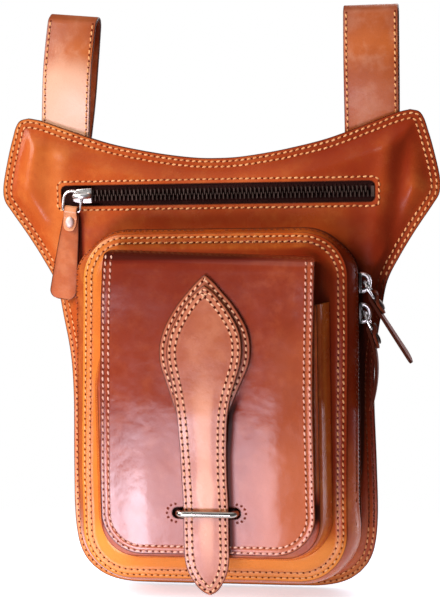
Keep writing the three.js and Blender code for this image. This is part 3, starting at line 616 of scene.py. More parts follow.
body = {
    "leather": 2, "rim": 3, "run": 6, "yokeRim": 4, "yokeRun": 12, "puff": 5,
    "top": [
        (0, -74.5), (10, -74.2), (25, -72.4), (40, -69.7), (58, -65.5), (80, -57.9), (93.5, -53.1),
        (100, -51.7),
    ],
    "side": [
        (100, -51.7), (104.6, -52.9), (107, -56.4), (108.5, -61), (111.5, -71.5), (115, -89), (114.3, -95),
        (111.4, -99.8), (102.4, -113), (94.4, -126), (87.6, -139.4), (84, -157.7), (81, -177), (80.1, -196),
        (81, -235), (81.3, -262), (80.4, -274.5), (78.8, -282), (76, -288), (72, -292.8),
    ],
    "bottom": [(0, -301), (40, -301), (52, -300.6), (61, -298.9), (67, -296.4), (72, -292.8)],
    "rows": (1.8, 4.5),  # stitch rows, in from the edge
    "shade": {"from": 50, "low": -268, "high": -137},  # this part of the rows is sewn in dark thread, as painted shade beside the pocket
}


def mirrored(half):
    half = np.asarray(half, float)
    return np.vstack([(half * [-1, 1])[::-1][:-1], half])


bodyRight = spline(body["side"])[::-1]
bodyBottom, bodyTop = spline(mirrored(body["bottom"])), spline(mirrored(body["top"]))
bodySides = fourSides(bodyBottom, bodyRight, bodyTop, bodyRight * [-1, 1])
bodyRing = ringOf(bodySides)


def earFold(z):
    # where the right ear's leather dips
    return 98.5 + 0.14 * (z + 57)


def bodyRise(x, z):
    away = rimDistance(bodyRing[::3], np.stack([x, z], axis=1))
    yoke = ease((z + 125) / 20)
    rim = body["rim"] + (body["yokeRim"] - body["rim"]) * yoke
    run = body["run"] + (body["yokeRun"] - body["run"]) * yoke
    height = body["puff"] * ease((away - rim) / run)
    within = ease((-56 - z) / 16) * ease((z + 134) / 20)
    fromFold = x - earFold(z)
    right = 2.9 * bump((fromFold - 1.2) / 5.5) * within - 0.7 * bump((fromFold + 9) / 4) * within
    left = 1.5 * bump((x + 88) / 6) * within - 0.5 * bump((x + 101) / 6) * within
    soft = 0.35 * np.sin(x / 13 + 0.6) * np.sin(z / 11 + x / 40) * ease((away - 8) / 10)
    return height * (1 - (right + left) / body["puff"]) + soft * yoke


def placeFrontPanel(u, v):
    point = patch(bodySides, u, v)
    x, z = point[:, 0], point[:, 1]
    return x, -2.15 - bodyRise(x, z), z


def placeBackPanel(u, v):
    point = patch(bodySides, 1 - u, v)
    return point[:, 0], np.full(len(u), 2.15), point[:, 1]


frontPanel = addSheet("body_front", placeFrontPanel, 170, 190)
thicken(frontPanel, body["leather"])
window = {"half": 82, "top": -87.5, "bottom": -98, "radius": 2.5, "rowOut": 2.2, "rowRadius": 3}
half, radius, low, high = (window[key] for key in ("half", "radius", "bottom", "top"))
cutAway(frontPanel, addBlock((-half, -20, low), (half, 5, high), radius))
x, _, z, spots = surveyed(frontPanel)
away = rimDistance(bodyRing[::3], spots)
windowRing = ringOf(roundedSides((-half, low), (half, high), radius, radius))
rim = np.minimum(away, rimDistance(windowRing[::4], spots))
shadingAndTone = 0.44 + 0.2 * ease((-x - 45) / 60) - 0.2 * ease((x - 10) / 70)  # light comes from the left
# painted highlight on the left ear's ridge
shadingAndTone += 0.12 * bump((x + 84) / 7)
# painted shade in the right ear's fold
shadingAndTone -= 0.24 * bump((x - earFold(z) + 1) / 5) * ease((z + 140) / 25) * ease((-58 - z) / 12)
# painted shade over and beside the pocket, nearly black in the gap at its right wall
shadingAndTone -= 0.32 * bump((z + 107) / 8) * bump((x + 5) / 55)
shadingAndTone -= 0.5 * ease((x - 66) / 5) * bump((z + 175) / 55) * ease((92 - x) / 10)
gapShade = ease((x - 64) / 5) * ease((76 - x) / 3) * ease((-128 - z) / 10) * ease((z + 272) / 16)
shadingAndTone -= 0.8 * gapShade * (1 - 0.55 * ease((-212 - z) / 40))
# painted sheen below the zip at the right
shadingAndTone += 0.16 * bump((x - 52) / 16) * bump((z + 108) / 9)
shadingAndTone += 0.14 * (bump((x - 87) / 6) + bump((x - 104) / 5)) * bump((z + 85) / 24)  # sheen on the right ear
shadingAndTone -= 1.0 * bump((x + 72.4) / 1.8) * ease((-99 - z) / 6) * ease((z + 142) / 5)  # painted shadow beside the pull
# painted shade: the yoke above the zip darker away from its left end
shadingAndTone -= 0.12 * ease((z + 92) / 10) * ease((x + 75) / 60)
# painted light: the rim lighter at its foot and at the left, and the panel lighter towards its foot; darker
# just inside the rim
shadingAndTone += 0.3 * ease((5.6 - away) / 2) * ease((-278 - z) / 14) + 0.25 * ease((-230 - z) / 50)
shadingAndTone += 0.15 * ease((4 - away) / 4) * ease((-x - 30) / 50) - 0.12 * bump((away - 6) / 3)
dress(frontPanel, rim, shadingAndTone, "body", "body_leather", "front_panel")

backPanel = addSheet("body_back", placeBackPanel, 90, 110)
thicken(backPanel, body["leather"])
x, _, _, spots = surveyed(backPanel)
away = rimDistance(bodyRing[::3], spots)
shadingAndTone = 0.5 - 0.12 * bump((away - 6) / 4) + 0.05 * np.sin(x / 25)
dress(backPanel, away, shadingAndTone, "body", "body_leather", "back_panel")
print("body panels made")

onFront = surfaceOf(frontPanel)
bodyRows = [inset(bodyRing, distance) for distance in body["rows"]]
out, radius = window["rowOut"], window["rowRadius"]
windowRow = ringOf(roundedSides((-half - out, low - out), (half + out, high + out), radius, radius))
shade = body["shade"]
inShade = [
    (run[:, 0] > shade["from"]) & (run[:, 1] < shade["high"]) & (run[:, 1] > shade["low"]) for run in bodyRows
]
lit = [openRun(run[~dark]) for run, dark in zip(bodyRows, inShade)]
sew("body_stitches", lit + [windowRow], onFront, thread, "body_leather")
shaded = [run[dark] for run, dark in zip(bodyRows, inShade)]
sew("shaded_stitches", shaded, onFront, shadedThread, "body_leather")
sew("back_stitches", bodyRows, surfaceOf(backPanel, side=1), thread, "body_leather")


# yoke zip

zipSizes = {
    "pitch": 2.17, "toothLong": 3.5, "toothWide": 1.15, "toothHigh": 1.5, "reach": 1.25, "worn": 0.28,
    "tape": 0.8, "tapeRim": 0.15,
}
yoke = {
    "z": -92.75, "tapeY": -4.85, "tapeLong": 165.2, "tapeHalf": 7.4, "chainY": -6.0,
    "teethFrom": -66, "teethTo": 79.6,
}


def modelTooth():
    # one tooth: long across the zip, its head cupped and its corners rubbed round
    deselectAll()
    bpy.ops.mesh.primitive_cube_add(size=1)
    one = bpy.context.object
    one.scale = (zipSizes["toothWide"] * mm, zipSizes["toothLong"] * mm, zipSizes["toothHigh"] * mm)
    bpy.ops.object.transform_apply(scale=True)
    editMesh(one, bpy.ops.mesh.bevel, offset=zipSizes["worn"] * mm, segments=1, affect="EDGES")
    points, faces = shapeOf(one)
    head = ease((-points[:, 1] / mm - 0.4) / 1.2)
    points[:, 0] *= 1 - 0.35 * head
    return points, faces


toothShape = modelTooth()


def toothFrames(points, outs):
    # teeth in turn from either side along the zip's middle
    steps = evenly(points, max(3, round(runLength(points) / (zipSizes["pitch"] / 2 * mm))))
    ways = unit(evenly(np.hstack([points, outs]), len(steps))[:, 3:])
    frames = []
    for k in range(1, len(steps) - 1):
        along = unit(steps[k + 1] - steps[k - 1])
        turn = 1 if k % 2 else -1
        reach = np.cross(ways[k], along) * turn * zipSizes["reach"] * mm
        frames.append((steps[k] + reach, along * turn, ways[k]))
    return frames


def addTape(name, place, columns, rows, node):
    tape = addSheet(name, place, columns, rows)
    thicken(tape, zipSizes["tape"], zipSizes["tapeRim"])
    finishPiece(tape, tapeCloth, "zip_tape", node)


def addTeeth(name, points, ways, node):
    teeth = copyAlong(name, toothShape, toothFrames(points, ways), 0)
    finishPiece(teeth, teethMetal, "zip_teeth", node)


def placeYokeTape(u, v):
    z = yoke["z"] + yoke["tapeHalf"] * (2 * v - 1)
    return yoke["tapeLong"] * (u - 0.5), yoke["tapeY"] + 0.5 * bump((z - yoke["z"]) / 1.2), z


addTape("yoke_tape", placeYokeTape, 60, 16, "yoke_zip_tape")
chainX = np.linspace(yoke["teethFrom"], yoke["teethTo"], 80)
middle = np.array([[x, yoke["chainY"] + seamY, yoke["z"]] for x in chainX]) * mm
addTeeth("yoke_teeth", middle, np.tile([0.0, -1.0, 0.0], (len(middle), 1)), "yoke_zip_chain")
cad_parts["yoke_end_stop"].material_slots[0].material = teethMetal
print("yoke zip made")


# front pocket: gusset, zip round its wall, and front

pocket = {
    "low": (-69.5, -290), "high": (69.5, -111.6), "lowRadius": 25, "highRadius": 23,
    "backY": -7.45, "frontY": -30, "wall": 1.7, "spread": 2, "swell": 3.5,
    "zipY": -16.5, "slot": 4.6, "slotEnd": -272, "taper": 26, "tapeHalf": 6.3, "tapeSunk": 2.3,
    "faceY": -32.3, "leather": 2, "dome": 1.7, "rows": (1.9, 4.6), "wallRow": 1.7, "wallRowEnd": -262,
    # height, and how far the front stands to the right of the back
    "leftLean": [
        (-290, 0.3), (-262, 0), (-235, 0), (-205, 1.1), (-182, 2.1), (-165, 2.8), (-145, 3.6), (-125, 4.2),
        (-111, 4.2),
    ],
    "rightLean": [(-290, -2.0), (-250, -2.0), (-205, -1.3), (-165, -0.4), (-111, 0)],
}
pocketSides = roundedSides(pocket["low"], pocket["high"], pocket["lowRadius"], pocket["highRadius"])
pocketRing = evenly(ringOf(pocketSides), 900)
pocketAlong = np.roll(pocketRing[:-1], -1, axis=0) - np.roll(pocketRing[:-1], 1, axis=0)
pocketAlong = unit(np.vstack([pocketAlong, pocketAlong[:1]]))
pocketWays = np.stack([pocketAlong[:, 1], -pocketAlong[:, 0]], axis=1)  # out of the wall, all the way round


def pocketLean(x, z):
    share = x / pocket["high"][0]
    left = np.interp(z, *np.array(pocket["leftLean"]).T) * np.clip(-share, 0, 1)
    right = np.interp(z, *np.array(pocket["rightLean"]).T) * np.clip(share, 0, 1)
    return x + left + right


def gussetOut(y, z):
    middleY = (pocket["backY"] + pocket["frontY"]) / 2
    t = (y - middleY) / (pocket["backY"] - middleY)
    flatter = 1 - 0.8 * ease((z + 132) / 16)  # the wall swells less along the top
    return (pocket["spread"] * (1 + t) / 2 + pocket["swell"] * (1 - t**2)) * flatter


def gussetPoint(u, y, out=0.0):
    x, z, nx, nz = readRun(np.hstack([pocketRing, pocketWays]), u)
    away = gussetOut(y, z) + out
    ahead = np.clip((pocket["backY"] - y) / (pocket["backY"] - pocket["frontY"]), 0, 1)
    x, z = x + nx * away, z + nz * away
    return x + (pocketLean(x, z) - x) * ahead, y, z


def slotHalf(z):
    return pocket["slot"] * (0.12 + 0.88 * ease((z - pocket["slotEnd"]) / pocket["taper"]))


def placeGusset(u, v):
    levels = np.unique(np.round(v, 4))
    row = np.searchsorted(levels, np.round(v, 4))
    slotRow, last = (len(levels) - 1) // 2, len(levels) - 1
    half = slotHalf(readRun(pocketRing, u)[1])
    behind = pocket["backY"] + (pocket["zipY"] + half - pocket["backY"]) * row / slotRow
    ahead = np.clip((row - slotRow - 1) / (last - slotRow - 1), 0, 1)
    front = (pocket["zipY"] - half) * (1 - ahead) + pocket["frontY"] * ahead
    y = np.where(row <= slotRow, behind, front)
    lip = 0.5 * bump((np.abs(y - pocket["zipY"]) - half) / 1.3)  # the slot's turned edges stand up a little
    return gussetPoint(u, y, lip)


def inSlot(spots):
    # the faces that bridge the slot reach from one of its edges to the other
    depth = spots[:, 1] - seamY
    tall = np.ptp(depth) > 1.5 * slotHalf(spots[:, 2].mean())
    return tall and spots[:, 2].min() > pocket["slotEnd"] and abs(depth.mean() - pocket["zipY"]) < 0.3


gusset = addSheet("pocket_wall", placeGusset, 260, 25)
points = readPoints(gusset) / mm
for parts in (gusset.data.vertices, gusset.data.edges, gusset.data.polygons):
    parts.foreach_set("select", [False] * len(parts))
for face in gusset.data.polygons:
    face.select = bool(inSlot(points[list(face.vertices)]))
editMesh(gusset, bpy.ops.mesh.delete, everything=False, type="FACE")
closeSeams(gusset)
thicken(gusset, pocket["wall"], 0.5)
x, depth, z, _ = surveyed(gusset)
slotAway = np.maximum(np.abs(depth - pocket["zipY"]) - slotHalf(z), 0)
rim = np.where(z > pocket["slotEnd"], slotAway + 0.25, 3)
# painted light on the left, painted shade towards the body behind; darker along the slot
shadingAndTone = 0.42 + 0.2 * ease((-x - 40) / 40) - 0.18 * ease((depth + 16) / 9) - 0.1 * bump(slotAway / 2)
shadingAndTone -= 0.5 * ease((x - 45) / 20) * ease((z + 250) / 60) * ease((-112 - z) / 10)  # away from the light
dress(gusset, rim, shadingAndTone, "pocket", "pocket_leather", "pocket_gusset")


def wallRun(y, out, fromZ, count=500):
    # a run round the wall at one depth, as points and the way out
    u = np.linspace(0, 1, len(pocketRing))
    x, depth, z = gussetPoint(u, np.full(len(u), float(y)), out)
    keep = z > fromZ
    first = np.argmax(keep & ~np.roll(keep, 1))
    order = np.roll(np.arange(len(u) - 1), -first)
    order = order[keep[order]]
    points = np.stack([x, depth + seamY, z], axis=1)[order] * mm
    ways = np.stack([pocketWays[:, 0], np.zeros(len(u)), pocketWays[:, 1]], axis=1)[order]
    return evenly(points, count), evenly(np.hstack([points, ways]), count)[:, 3:]


def placePocketTape(u, v):
    points, ways = wallRun(pocket["zipY"], 0, pocket["slotEnd"] - 2, 300)
    x, _, z, nx, _, nz = readRun(np.hstack([points / mm, ways]), u)
    y = pocket["zipY"] + pocket["tapeHalf"] * (1 - 2 * v)
    sunk = gussetOut(y, z) - gussetOut(np.full_like(y, pocket["zipY"]), z) - pocket["tapeSunk"]
    return x + nx * sunk, y, z + nz * sunk


addTape("pocket_tape", placePocketTape, 220, 10, "pocket_zip_tape")
addTeeth("pocket_teeth", *wallRun(pocket["zipY"], -1.2, pocket["slotEnd"] + 8), "pocket_zip_chain")


def placePocketFront(u, v):
    point = patch(pocketSides, u, v)
    x, z = point.T
    away = rimDistance(pocketRing[::3], point)
    y = pocket["faceY"] - pocket["dome"] * ease((away - 5.5) / 7)
    y -= 0.2 * bump((away - 3.2) / 1.6) - (0.9 - 0.7 * ease((x - 20) / 30)) * (1 - ease(away / 2.2))
    y += 0.3 * np.sin(x / 9) * np.sin(z / 14) * ease((away - 8) / 8)
    return pocketLean(x, z), y, z


pocketFront = addSheet("pocket_face", placePocketFront, 120, 150)
thicken(pocketFront, pocket["leather"], 0.6)
x, _, z, spots = surveyed(pocketFront)
leanRing = np.stack([pocketLean(*pocketRing.T), pocketRing[:, 1]], axis=1)
away = rimDistance(leanRing[::3], spots)
# painted light at the left and the foot, painted shade at the right; the top border lighter and the face just
# inside it darker
shadingAndTone = 0.5 + 0.32 * ease((-x - 40) / 28) - 0.42 * ease((x - 35) / 22) * ease((z + 272) / 50)
shadingAndTone += 0.38 * ease((-255 - z) / 22) + 0.08 * ease((z + 150) / 30)
shadingAndTone -= 0.1 * ease((z + 150) / 30) * ease((away - 6) / 3)
shadingAndTone -= 0.32 * ease((z + 128) / 4) * (1 - ease((np.abs(x) - 54) / 6)) * ease((away - 7) / 2)  # painted shade under the flap
dress(pocketFront, away + 0.2, shadingAndTone, "pocket", "pocket_leather", "pocket_front")
pocketRows = [inset(leanRing, distance) for distance in pocket["rows"]]
sew("pocket_stitches", pocketRows, surfaceOf(pocketFront), thread, "pocket_leather")


def framesOn(points, outs):
    # stitches and holes along a run in space
    count = 2 * max(2, round(runLength(points) / (stitch["pitch"] * mm))) + 1
    steps = evenly(np.hstack([points, outs]), count)
    places, outs = steps[:, :3], unit(steps[:, 3:])
    sewn, holes = [], []
    for k in range(count):
        along = unit(places[min(k + 1, count - 1)] - places[max(k - 1, 0)])
        (sewn if k % 2 else holes).append((places[k], along, outs[k]))
    return sewn, holes


wallSewn, wallHoles = [], []
for side in (-1, 1):
    y = pocket["zipY"] + side * (pocket["slot"] + pocket["wallRow"])
    one, other = framesOn(*wallRun(y, 0.05, pocket["wallRowEnd"]))
    wallSewn += one
    wallHoles += other
# the wall's rows in dark thread, as painted shade
finishPiece(copyAlong("wall_stitches", stitchShape, wallSewn, 0.05), shadedThread, "pocket_leather")
finishPiece(copyAlong("wall_stitches_holes", holeShape, wallHoles, 0.08), needleHole, "pocket_leather")
print("front pocket made")


# flap pocket

flapPocket = {
    "half": 55.5, "top": -146, "bottom": -273.5, "radius": 18, "faceY": -49.5, "leather": 1.9, "wall": 1.7,
    "drawnIn": 5, "drawnOver": 45,  # its left edge comes in towards the mouth
    # depth, and how far out
    "section": [(-34.1, 5.0), (-35.6, 4.6), (-39, 3.4), (-43, 2.0), (-46, 0.9), (-47.3, -0.4)],
}
mouthLeft, mouthRight = [(side * flapPocket["half"], flapPocket["top"]) for side in (-1, 1)]


def lowerCorner(side, start, end, count=16):
    reach, radius = flapPocket["half"] - flapPocket["radius"], flapPocket["radius"]
    return arc(side * reach, flapPocket["bottom"] + radius, radius, start, end, count)


def nearMouth(z):
    return 1 - ease((flapPocket["top"] - z) / flapPocket["drawnOver"])


def placeFlapWall(u, v):
    run = np.vstack([[mouthLeft], lowerCorner(-1, 180, 270, 24), lowerCorner(1, 270, 360, 24), [mouthRight]])
    run = evenly(run, 600)
    x, z, ax, az = readRun(np.hstack([run, unit(np.gradient(run, axis=0))]), u)
    y, out = readRun(evenly(spline(flapPocket["section"]), 200), v)
    drawn = np.where(x < 0, nearMouth(z), 0)
    out = out * (1 - drawn) - flapPocket["drawnIn"] * drawn
    return x + az * out, y, z - ax * out


flapWall = addSheet("flap_pocket_wall", placeFlapWall, 200, 14)
thicken(flapWall, flapPocket["wall"], 0.4)
_, depth, z, _ = surveyed(flapWall)
rim = np.minimum(np.abs(z - flapPocket["top"]) + 0.1, 6)
# painted shade: darker at the back under the flap, with a lighter band in front of it
shadingAndTone = 0.45 + 0.2 * bump((depth + 41) / 3) - 0.25 * ease((depth + 37) / 3)
dress(flapWall, rim, shadingAndTone, "pocket", "pocket_leather", "flap_pocket_gusset")

flapPocketSides = fourSides(
    np.vstack([lowerCorner(-1, 225, 270), lowerCorner(1, 270, 315)]),
    np.vstack([lowerCorner(1, 315, 360), [mouthRight]]),
    [mouthLeft, mouthRight],
    np.vstack([lowerCorner(-1, 225, 180), [mouthLeft]]),
)


def placeFlapPocketFront(u, v):
    x, z = patch(flapPocketSides, u, v).T
    drawn = flapPocket["drawnIn"] * nearMouth(z) * np.clip(-x / flapPocket["half"], 0, 1)
    return x + drawn, np.full(len(u), float(flapPocket["faceY"])), z


flapPocketFront = addSheet("flap_pocket_face", placeFlapPocketFront, 50, 60)
thicken(flapPocketFront, flapPocket["leather"], 0.4)
_, _, z, spots = surveyed(flapPocketFront)
rim = rimDistance(ringOf(flapPocketSides)[::4], spots) + 0.1
shadingAndTone = 0.35 - 1.0 * bump((z + 249.6) / 7)  # painted shade: darker all over under the flap, near black behind the flap's slot
dress(flapPocketFront, rim, shadingAndTone, "pocket", "pocket_leather", "flap_pocket_front")
print("flap pocket made")


# flap

flap = {
    "leather": 2, "corner": 20, "tilt": 2.2, "rows": (1.35, 4.15),
    # height, depth of the middle surface, middle, half width
    "sections": [
        (-131, -35.1, 2.2, 49.4), (-125, -35.2, 2.3, 49.8), (-122.4, -37, 2.4, 50.2), (-121.9, -41, 2.5, 51),
        (-122.6, -47, 2.5, 52), (-123.6, -49.9, 2.5, 52.4), (-126, -51.7, 2.4, 52.5),
        (-131.5, -52.1, 2.1, 52.7), (-148, -52.4, 1.2, 53), (-168, -53, 0.5, 53), (-192, -53.5, 0, 53.1),
        (-228, -53.6, -0.4, 53.7), (-251, -52.9, -0.5, 53.9), (-271, -51.9, -0.5, 53.9),
    ],
    "slot": {"z": -249.6, "left": -18, "right": 16.6, "high": 2.9, "radius": 2.8, "stitchRadius": 4.6},
    # how far down, and the strap's right edge there
    "besideStrap": [
        (130.6, 1.8), (144.5, 14.2), (157.8, 21.7), (166.2, 23.1), (182, 19.2), (200, 11.4), (220, 10.2),
        (290, 10.7),
    ],
}
sections = np.array(flap["sections"], float)
flapLine = spline(sections[:, [1, 0]], 24)  # depth, height
turned = unit(np.gradient(flapLine, axis=0))
flapLine = flapLine + np.stack([turned[:, 1], -turned[:, 0]], axis=1) * flap["leather"] / 2
flapAlong = distances(flapLine)
flapLong = flapAlong[-1]
sectionUp = flapLong - flapAlong[::24]  # how far each section lies above the lower edge


def flapEdge(side):
    x = (sections[:, 2] + side * sections[:, 3])[::-1]
    run = spline(np.stack([x, sectionUp[::-1]], axis=1)[1:], 12)
    return run[run[:, 1] > flap["corner"]]


def footCorner(side, start, end):
    corner = flap["corner"]
    return arc(sections[-1, 2] + side * (sections[-1, 3] - corner), corner, corner, start, end)


flapSides = fourSides(
    np.vstack([footCorner(-1, 225, 270), footCorner(1, 270, 315)]),
    np.vstack([footCorner(1, 315, 358), flapEdge(1)]),
    [(sections[0, 2] + side * sections[0, 3], flapLong) for side in (-1, 1)],
    np.vstack([footCorner(-1, 225, 182), flapEdge(-1)]),
)
flapRing = ringOf(flapSides)


def flapPoint(x, up):
    y, z = (np.interp(flapLong - up, flapAlong, column) for column in flapLine.T)
    y = y + 1.2 * ease((np.abs(x) - 30) / 25) * ease((-131 - z) / 28)
    fold = ease((up - (flapLong - 38)) / 14)
    return x, y, z - flap["tilt"] * (x - 2) / 52 * fold


def placeFlap(u, v):
    point = patch(flapSides, u, v)
    x, y, z = flapPoint(*point.T)
    away = rimDistance(flapRing[::4], point)
    low = ease((-150 - z) / 60)
    y = y - 0.5 * low * (bump((x + 31) / 19) + bump((x - 33) / 20))
    return x, y + 0.25 * bump((away - 2.7) / 0.9), z


flapPiece = addSheet("flap_leather", placeFlap, 110, 190)
thicken(flapPiece, flap["leather"], 0.55)
slot = flap["slot"]
low, high = slot["z"] - slot["high"], slot["z"] + slot["high"]
cutAway(flapPiece, addBlock((slot["left"], -60, low), (slot["right"], -49.8, high), slot["high"] - 0.05, 8))
x, _, z, spots = surveyed(flapPiece)
faceHeight = np.interp(flapLong - flapRing[:, 1], flapAlong, flapLine[:, 1])
faceRing = openRun(np.stack([flapRing[:, 0], faceHeight], axis=1)[flapRing[:, 1] < flapLong - 21])
away = np.where(z < -125, rimDistance(faceRing[::4], spots), 6)
slotRing = ringOf(roundedSides((slot["left"], low), (slot["right"], high), slot["radius"], slot["radius"]))
slotAway = rimDistance(slotRing[::4], spots)
# painted light and shade: darker near the top, lighter low down and to the right, lighter on the border's
# ridge, near black on the fold's roof
shadingAndTone = 0.41 - 0.16 * ease((z + 175) / 30) + 0.2 * ease((-195 - z) / 40) + 0.3 * ease((x - 12) / 30)
shadingAndTone += 0.2 * bump((away - 2.7) / 1.6) - 0.55 * ease((z + 125.5) / 3)
strapEdge = np.interp(-z, *np.array(flap["besideStrap"]).T)
shadingAndTone -= 0.95 * bump((x - strapEdge - 1.3) / 2.3) * ease((-184 - z) / 14)  # the strap's shadow
dress(flapPiece, np.minimum(away, slotAway + 0.1), shadingAndTone, "flap", "flap_leather", "flap")
onFlap = surfaceOf(flapPiece)


def flapRow(distance):
    run = inset(flapRing, distance)
    x, _, z = flapPoint(*run.T)
    return openRun(np.stack([x, z], axis=1)[run[:, 1] < flapLong - 23])


sew("flap_stitches", [flapRow(distance) for distance in flap["rows"]], onFlap, paleThread, "flap_leather")
slotEnds = [
    arc(x, slot["z"], slot["stitchRadius"], 90 - side * 2, 90 - side * 178, 7)
    for x, side in ((slot["left"] + 2, -1), (slot["right"] - 2, 1))
]
slotHits = [onFlap(*spot) for spot in np.vstack(slotEnds)]
slotHoles = [(place, np.array([1.0, 0, 0]), out) for place, out in slotHits]
finishPiece(copyAlong("slot_holes", wideHole, slotHoles, 0.07), needleHole, "flap_leather")
print("flap made")


# spear-head patch and closing strap

strapSizes = {
    "pitch": 3.3,
    "backing": {
        "leather": 1.5, "rim": 0.4, "crown": 0.2, "lift": 2.05, "row": 1.9, "rowEnd": -199,
        # height, middle, half width
        "sections": [
            (-130.6, 1.4, 0.4), (-134.5, 1.2, 4.6), (-139.5, 1, 9), (-144.5, 1, 13.2), (-150.5, 1, 17.2),
            (-157.8, 0.9, 20.8), (-166.2, 0.5, 22.6), (-174.5, 0.2, 22), (-182, -0.2, 19.4),
            (-190.3, -0.8, 16.2), (-200, -1.2, 12.6),
        ],
    },
    "strap": {
        "leather": 1.8, "rim": 0.5, "crown": 0.35, "rows": (1.6, 4.3),
        # height, middle, half width, how far its middle surface stands off the flap's
        "sections": [
            (-135.6, 1.3, 0.4, 4), (-139.5, 1.1, 5, 4), (-144.5, 1, 9.3, 4), (-150.5, 1, 13.3, 4),
            (-157.8, 0.9, 16.9, 4), (-166.2, 0.5, 18.6, 4), (-174.5, 0.2, 18, 4), (-182, -0.2, 16.2, 4),
            (-190.3, -0.8, 14.2, 4), (-200.8, -1.1, 12.6, 3.9), (-210, -1.2, 12, 3), (-220, -1.2, 11.6, 2.3),
            (-233, -1, 11.4, 2.2), (-243, -0.7, 11.4, 2.2), (-252, -0.7, 11.4, 2.3), (-262, -0.8, 11.4, 2.7),
            (-272.5, -0.7, 11.2, 3.2), (-279.5, -0.4, 9.8, 3.3), (-285.5, 0, 6.8, 3.2), (-289.2, 0.3, 3.6, 3),
            (-290.8, 0.4, 0.8, 2.9),
        ],
    },
}
faceLine = spline(sections[7:, [1, 0]], 24)[::-1]


def flapDepth(z):
    return np.interp(z, faceLine[:, 1], faceLine[:, 0])


def sectionRun(rows, columns):
    # the table as a smooth run from its lower end to its upper end, height first
    rows = np.array(rows, float)[::-1]
    return evenly(spline(rows[:, columns], 16), 400)


def addStrip(name, values, steps):
    # a strip over the flap: the piece, its outline, and x, z and the distance from its edge at its points
    outline, middle = (sectionRun(values["sections"], [0, k]) for k in (2, 1))

    def place(u, v):
        z, half = readRun(outline, v)
        across = 2 * u - 1
        off = values.get("lift")
        if off is None:
            off = np.interp(z, *sectionRun(values["sections"], [0, 3]).T)
        y = flapDepth(np.clip(z, -271, -126)) - off - values["leather"] / 2 + values["crown"] * across**2
        return np.interp(z, *middle.T) + half * across, y, z

    piece = addSheet(name, place, 50, steps)
    thicken(piece, values["leather"], values["rim"])
    height, half = outline.T
    x = np.interp(height, *middle.T)
    right, left = (np.stack([x + side * half, height], axis=1) for side in (1, -1))
    ring = np.vstack([right, left[::-1], right[:1]])
    x, _, z, spots = surveyed(piece)
    return piece, ring, x, z, rimDistance(ring[::3], spots)


backing, backingRing, x, z, away = addStrip("spear_patch", strapSizes["backing"], 90)
# painted shade, darker towards the right
dress(backing, away, 0.5 - 0.2 * ease((x - 5) / 15), "strap", "strap_leather", "strap_backing")
strap, strapRing, x, z, away = addStrip("strap_leather", strapSizes["strap"], 220)
# painted sheen down the lower middle and a painted highlight just above the keeper; lighter along the rows,
# darker just inside them
shadingAndTone = 0.56 + 0.34 * bump(x / 6) * ease((-170 - z) / 30) * ease((z + 285) / 30)
shadingAndTone += 0.12 * bump((away - 3) / 2.4) - 0.2 * bump((away - 6.4) / 1.8)
shadingAndTone += 0.5 * bump((x + 1) / 4.5) * bump((z + 238) / 7)
dress(strap, away, shadingAndTone, "strap", "strap_leather", "closure_strap")
strapRows = [inset(strapRing, distance) for distance in strapSizes["strap"]["rows"]]
patchRow = inset(backingRing, strapSizes["backing"]["row"])
patchRow = patchRow[patchRow[:, 1] > strapSizes["backing"]["rowEnd"]]
for name, rows, piece in (("strap_stitches", strapRows, strap), ("patch_stitches", [patchRow], backing)):
    sew(name, rows, surfaceOf(piece), strapThread, "strap_leather", strapSizes["pitch"], wideHole, strapHole)
print("strap made")


# keeper

keeper = {"z": -249.2, "half": 14.4, "radius": 1.75, "baseY": -49.8, "reach": 8.3, "bend": 2.6}


def keeperRun():
    bend, bendY = keeper["bend"], keeper["baseY"] - keeper["reach"] + keeper["bend"]
    side = [(keeper["half"], keeper["baseY"])]
    for t in np.linspace(0, math.pi / 2, 8):
        side.append((keeper["half"] - bend + bend * math.cos(t), bendY - bend * math.sin(t)))
    return [(x, y, keeper["z"]) for x, y in side + [(-x, y) for x, y in side[::-1]]]


finishPiece(addTube("keeper_wire", keeperRun(), keeper["radius"]), barSteel, "polished_steel", "keeper_loop")


# belt loops

loops = {
    "left": {"x": -80.4, "width": 26, "lean": 5.8, "bow": 6, "paintedLight": 0.5},
    "right": {"x": 80.4, "width": 28, "lean": 0, "bow": 4.5, "paintedLight": -0.2},
    "leather": 2, "front": 2.45, "room": 7.1, "tail": -92, "foot": -51.7, "row": 1.7, "rowEnds": (-12, 49.5),
}


def loopRun():
    front, room, tail, leatherThick = (loops[key] for key in ("front", "room", "tail", "leather"))
    back = front + 2 * leatherThick + room
    middle, outer = (front + back) / 2, room / 2 + leatherThick
    run = [(front, tail), (front, -70), (front, -50), (front, -25)]
    run += [
        (middle - outer * math.cos(t), outer * math.sin(t) - room / 2) for t in np.linspace(0, math.pi, 13)
    ]
    run += [(back, -24), (back - 0.7, -42), (back - 3.4, -58)]
    run += [(front + 4.7, -70), (front + 4.1, -76), (front + 4.1, tail)]
    return evenly(spline(run, 10), 500)


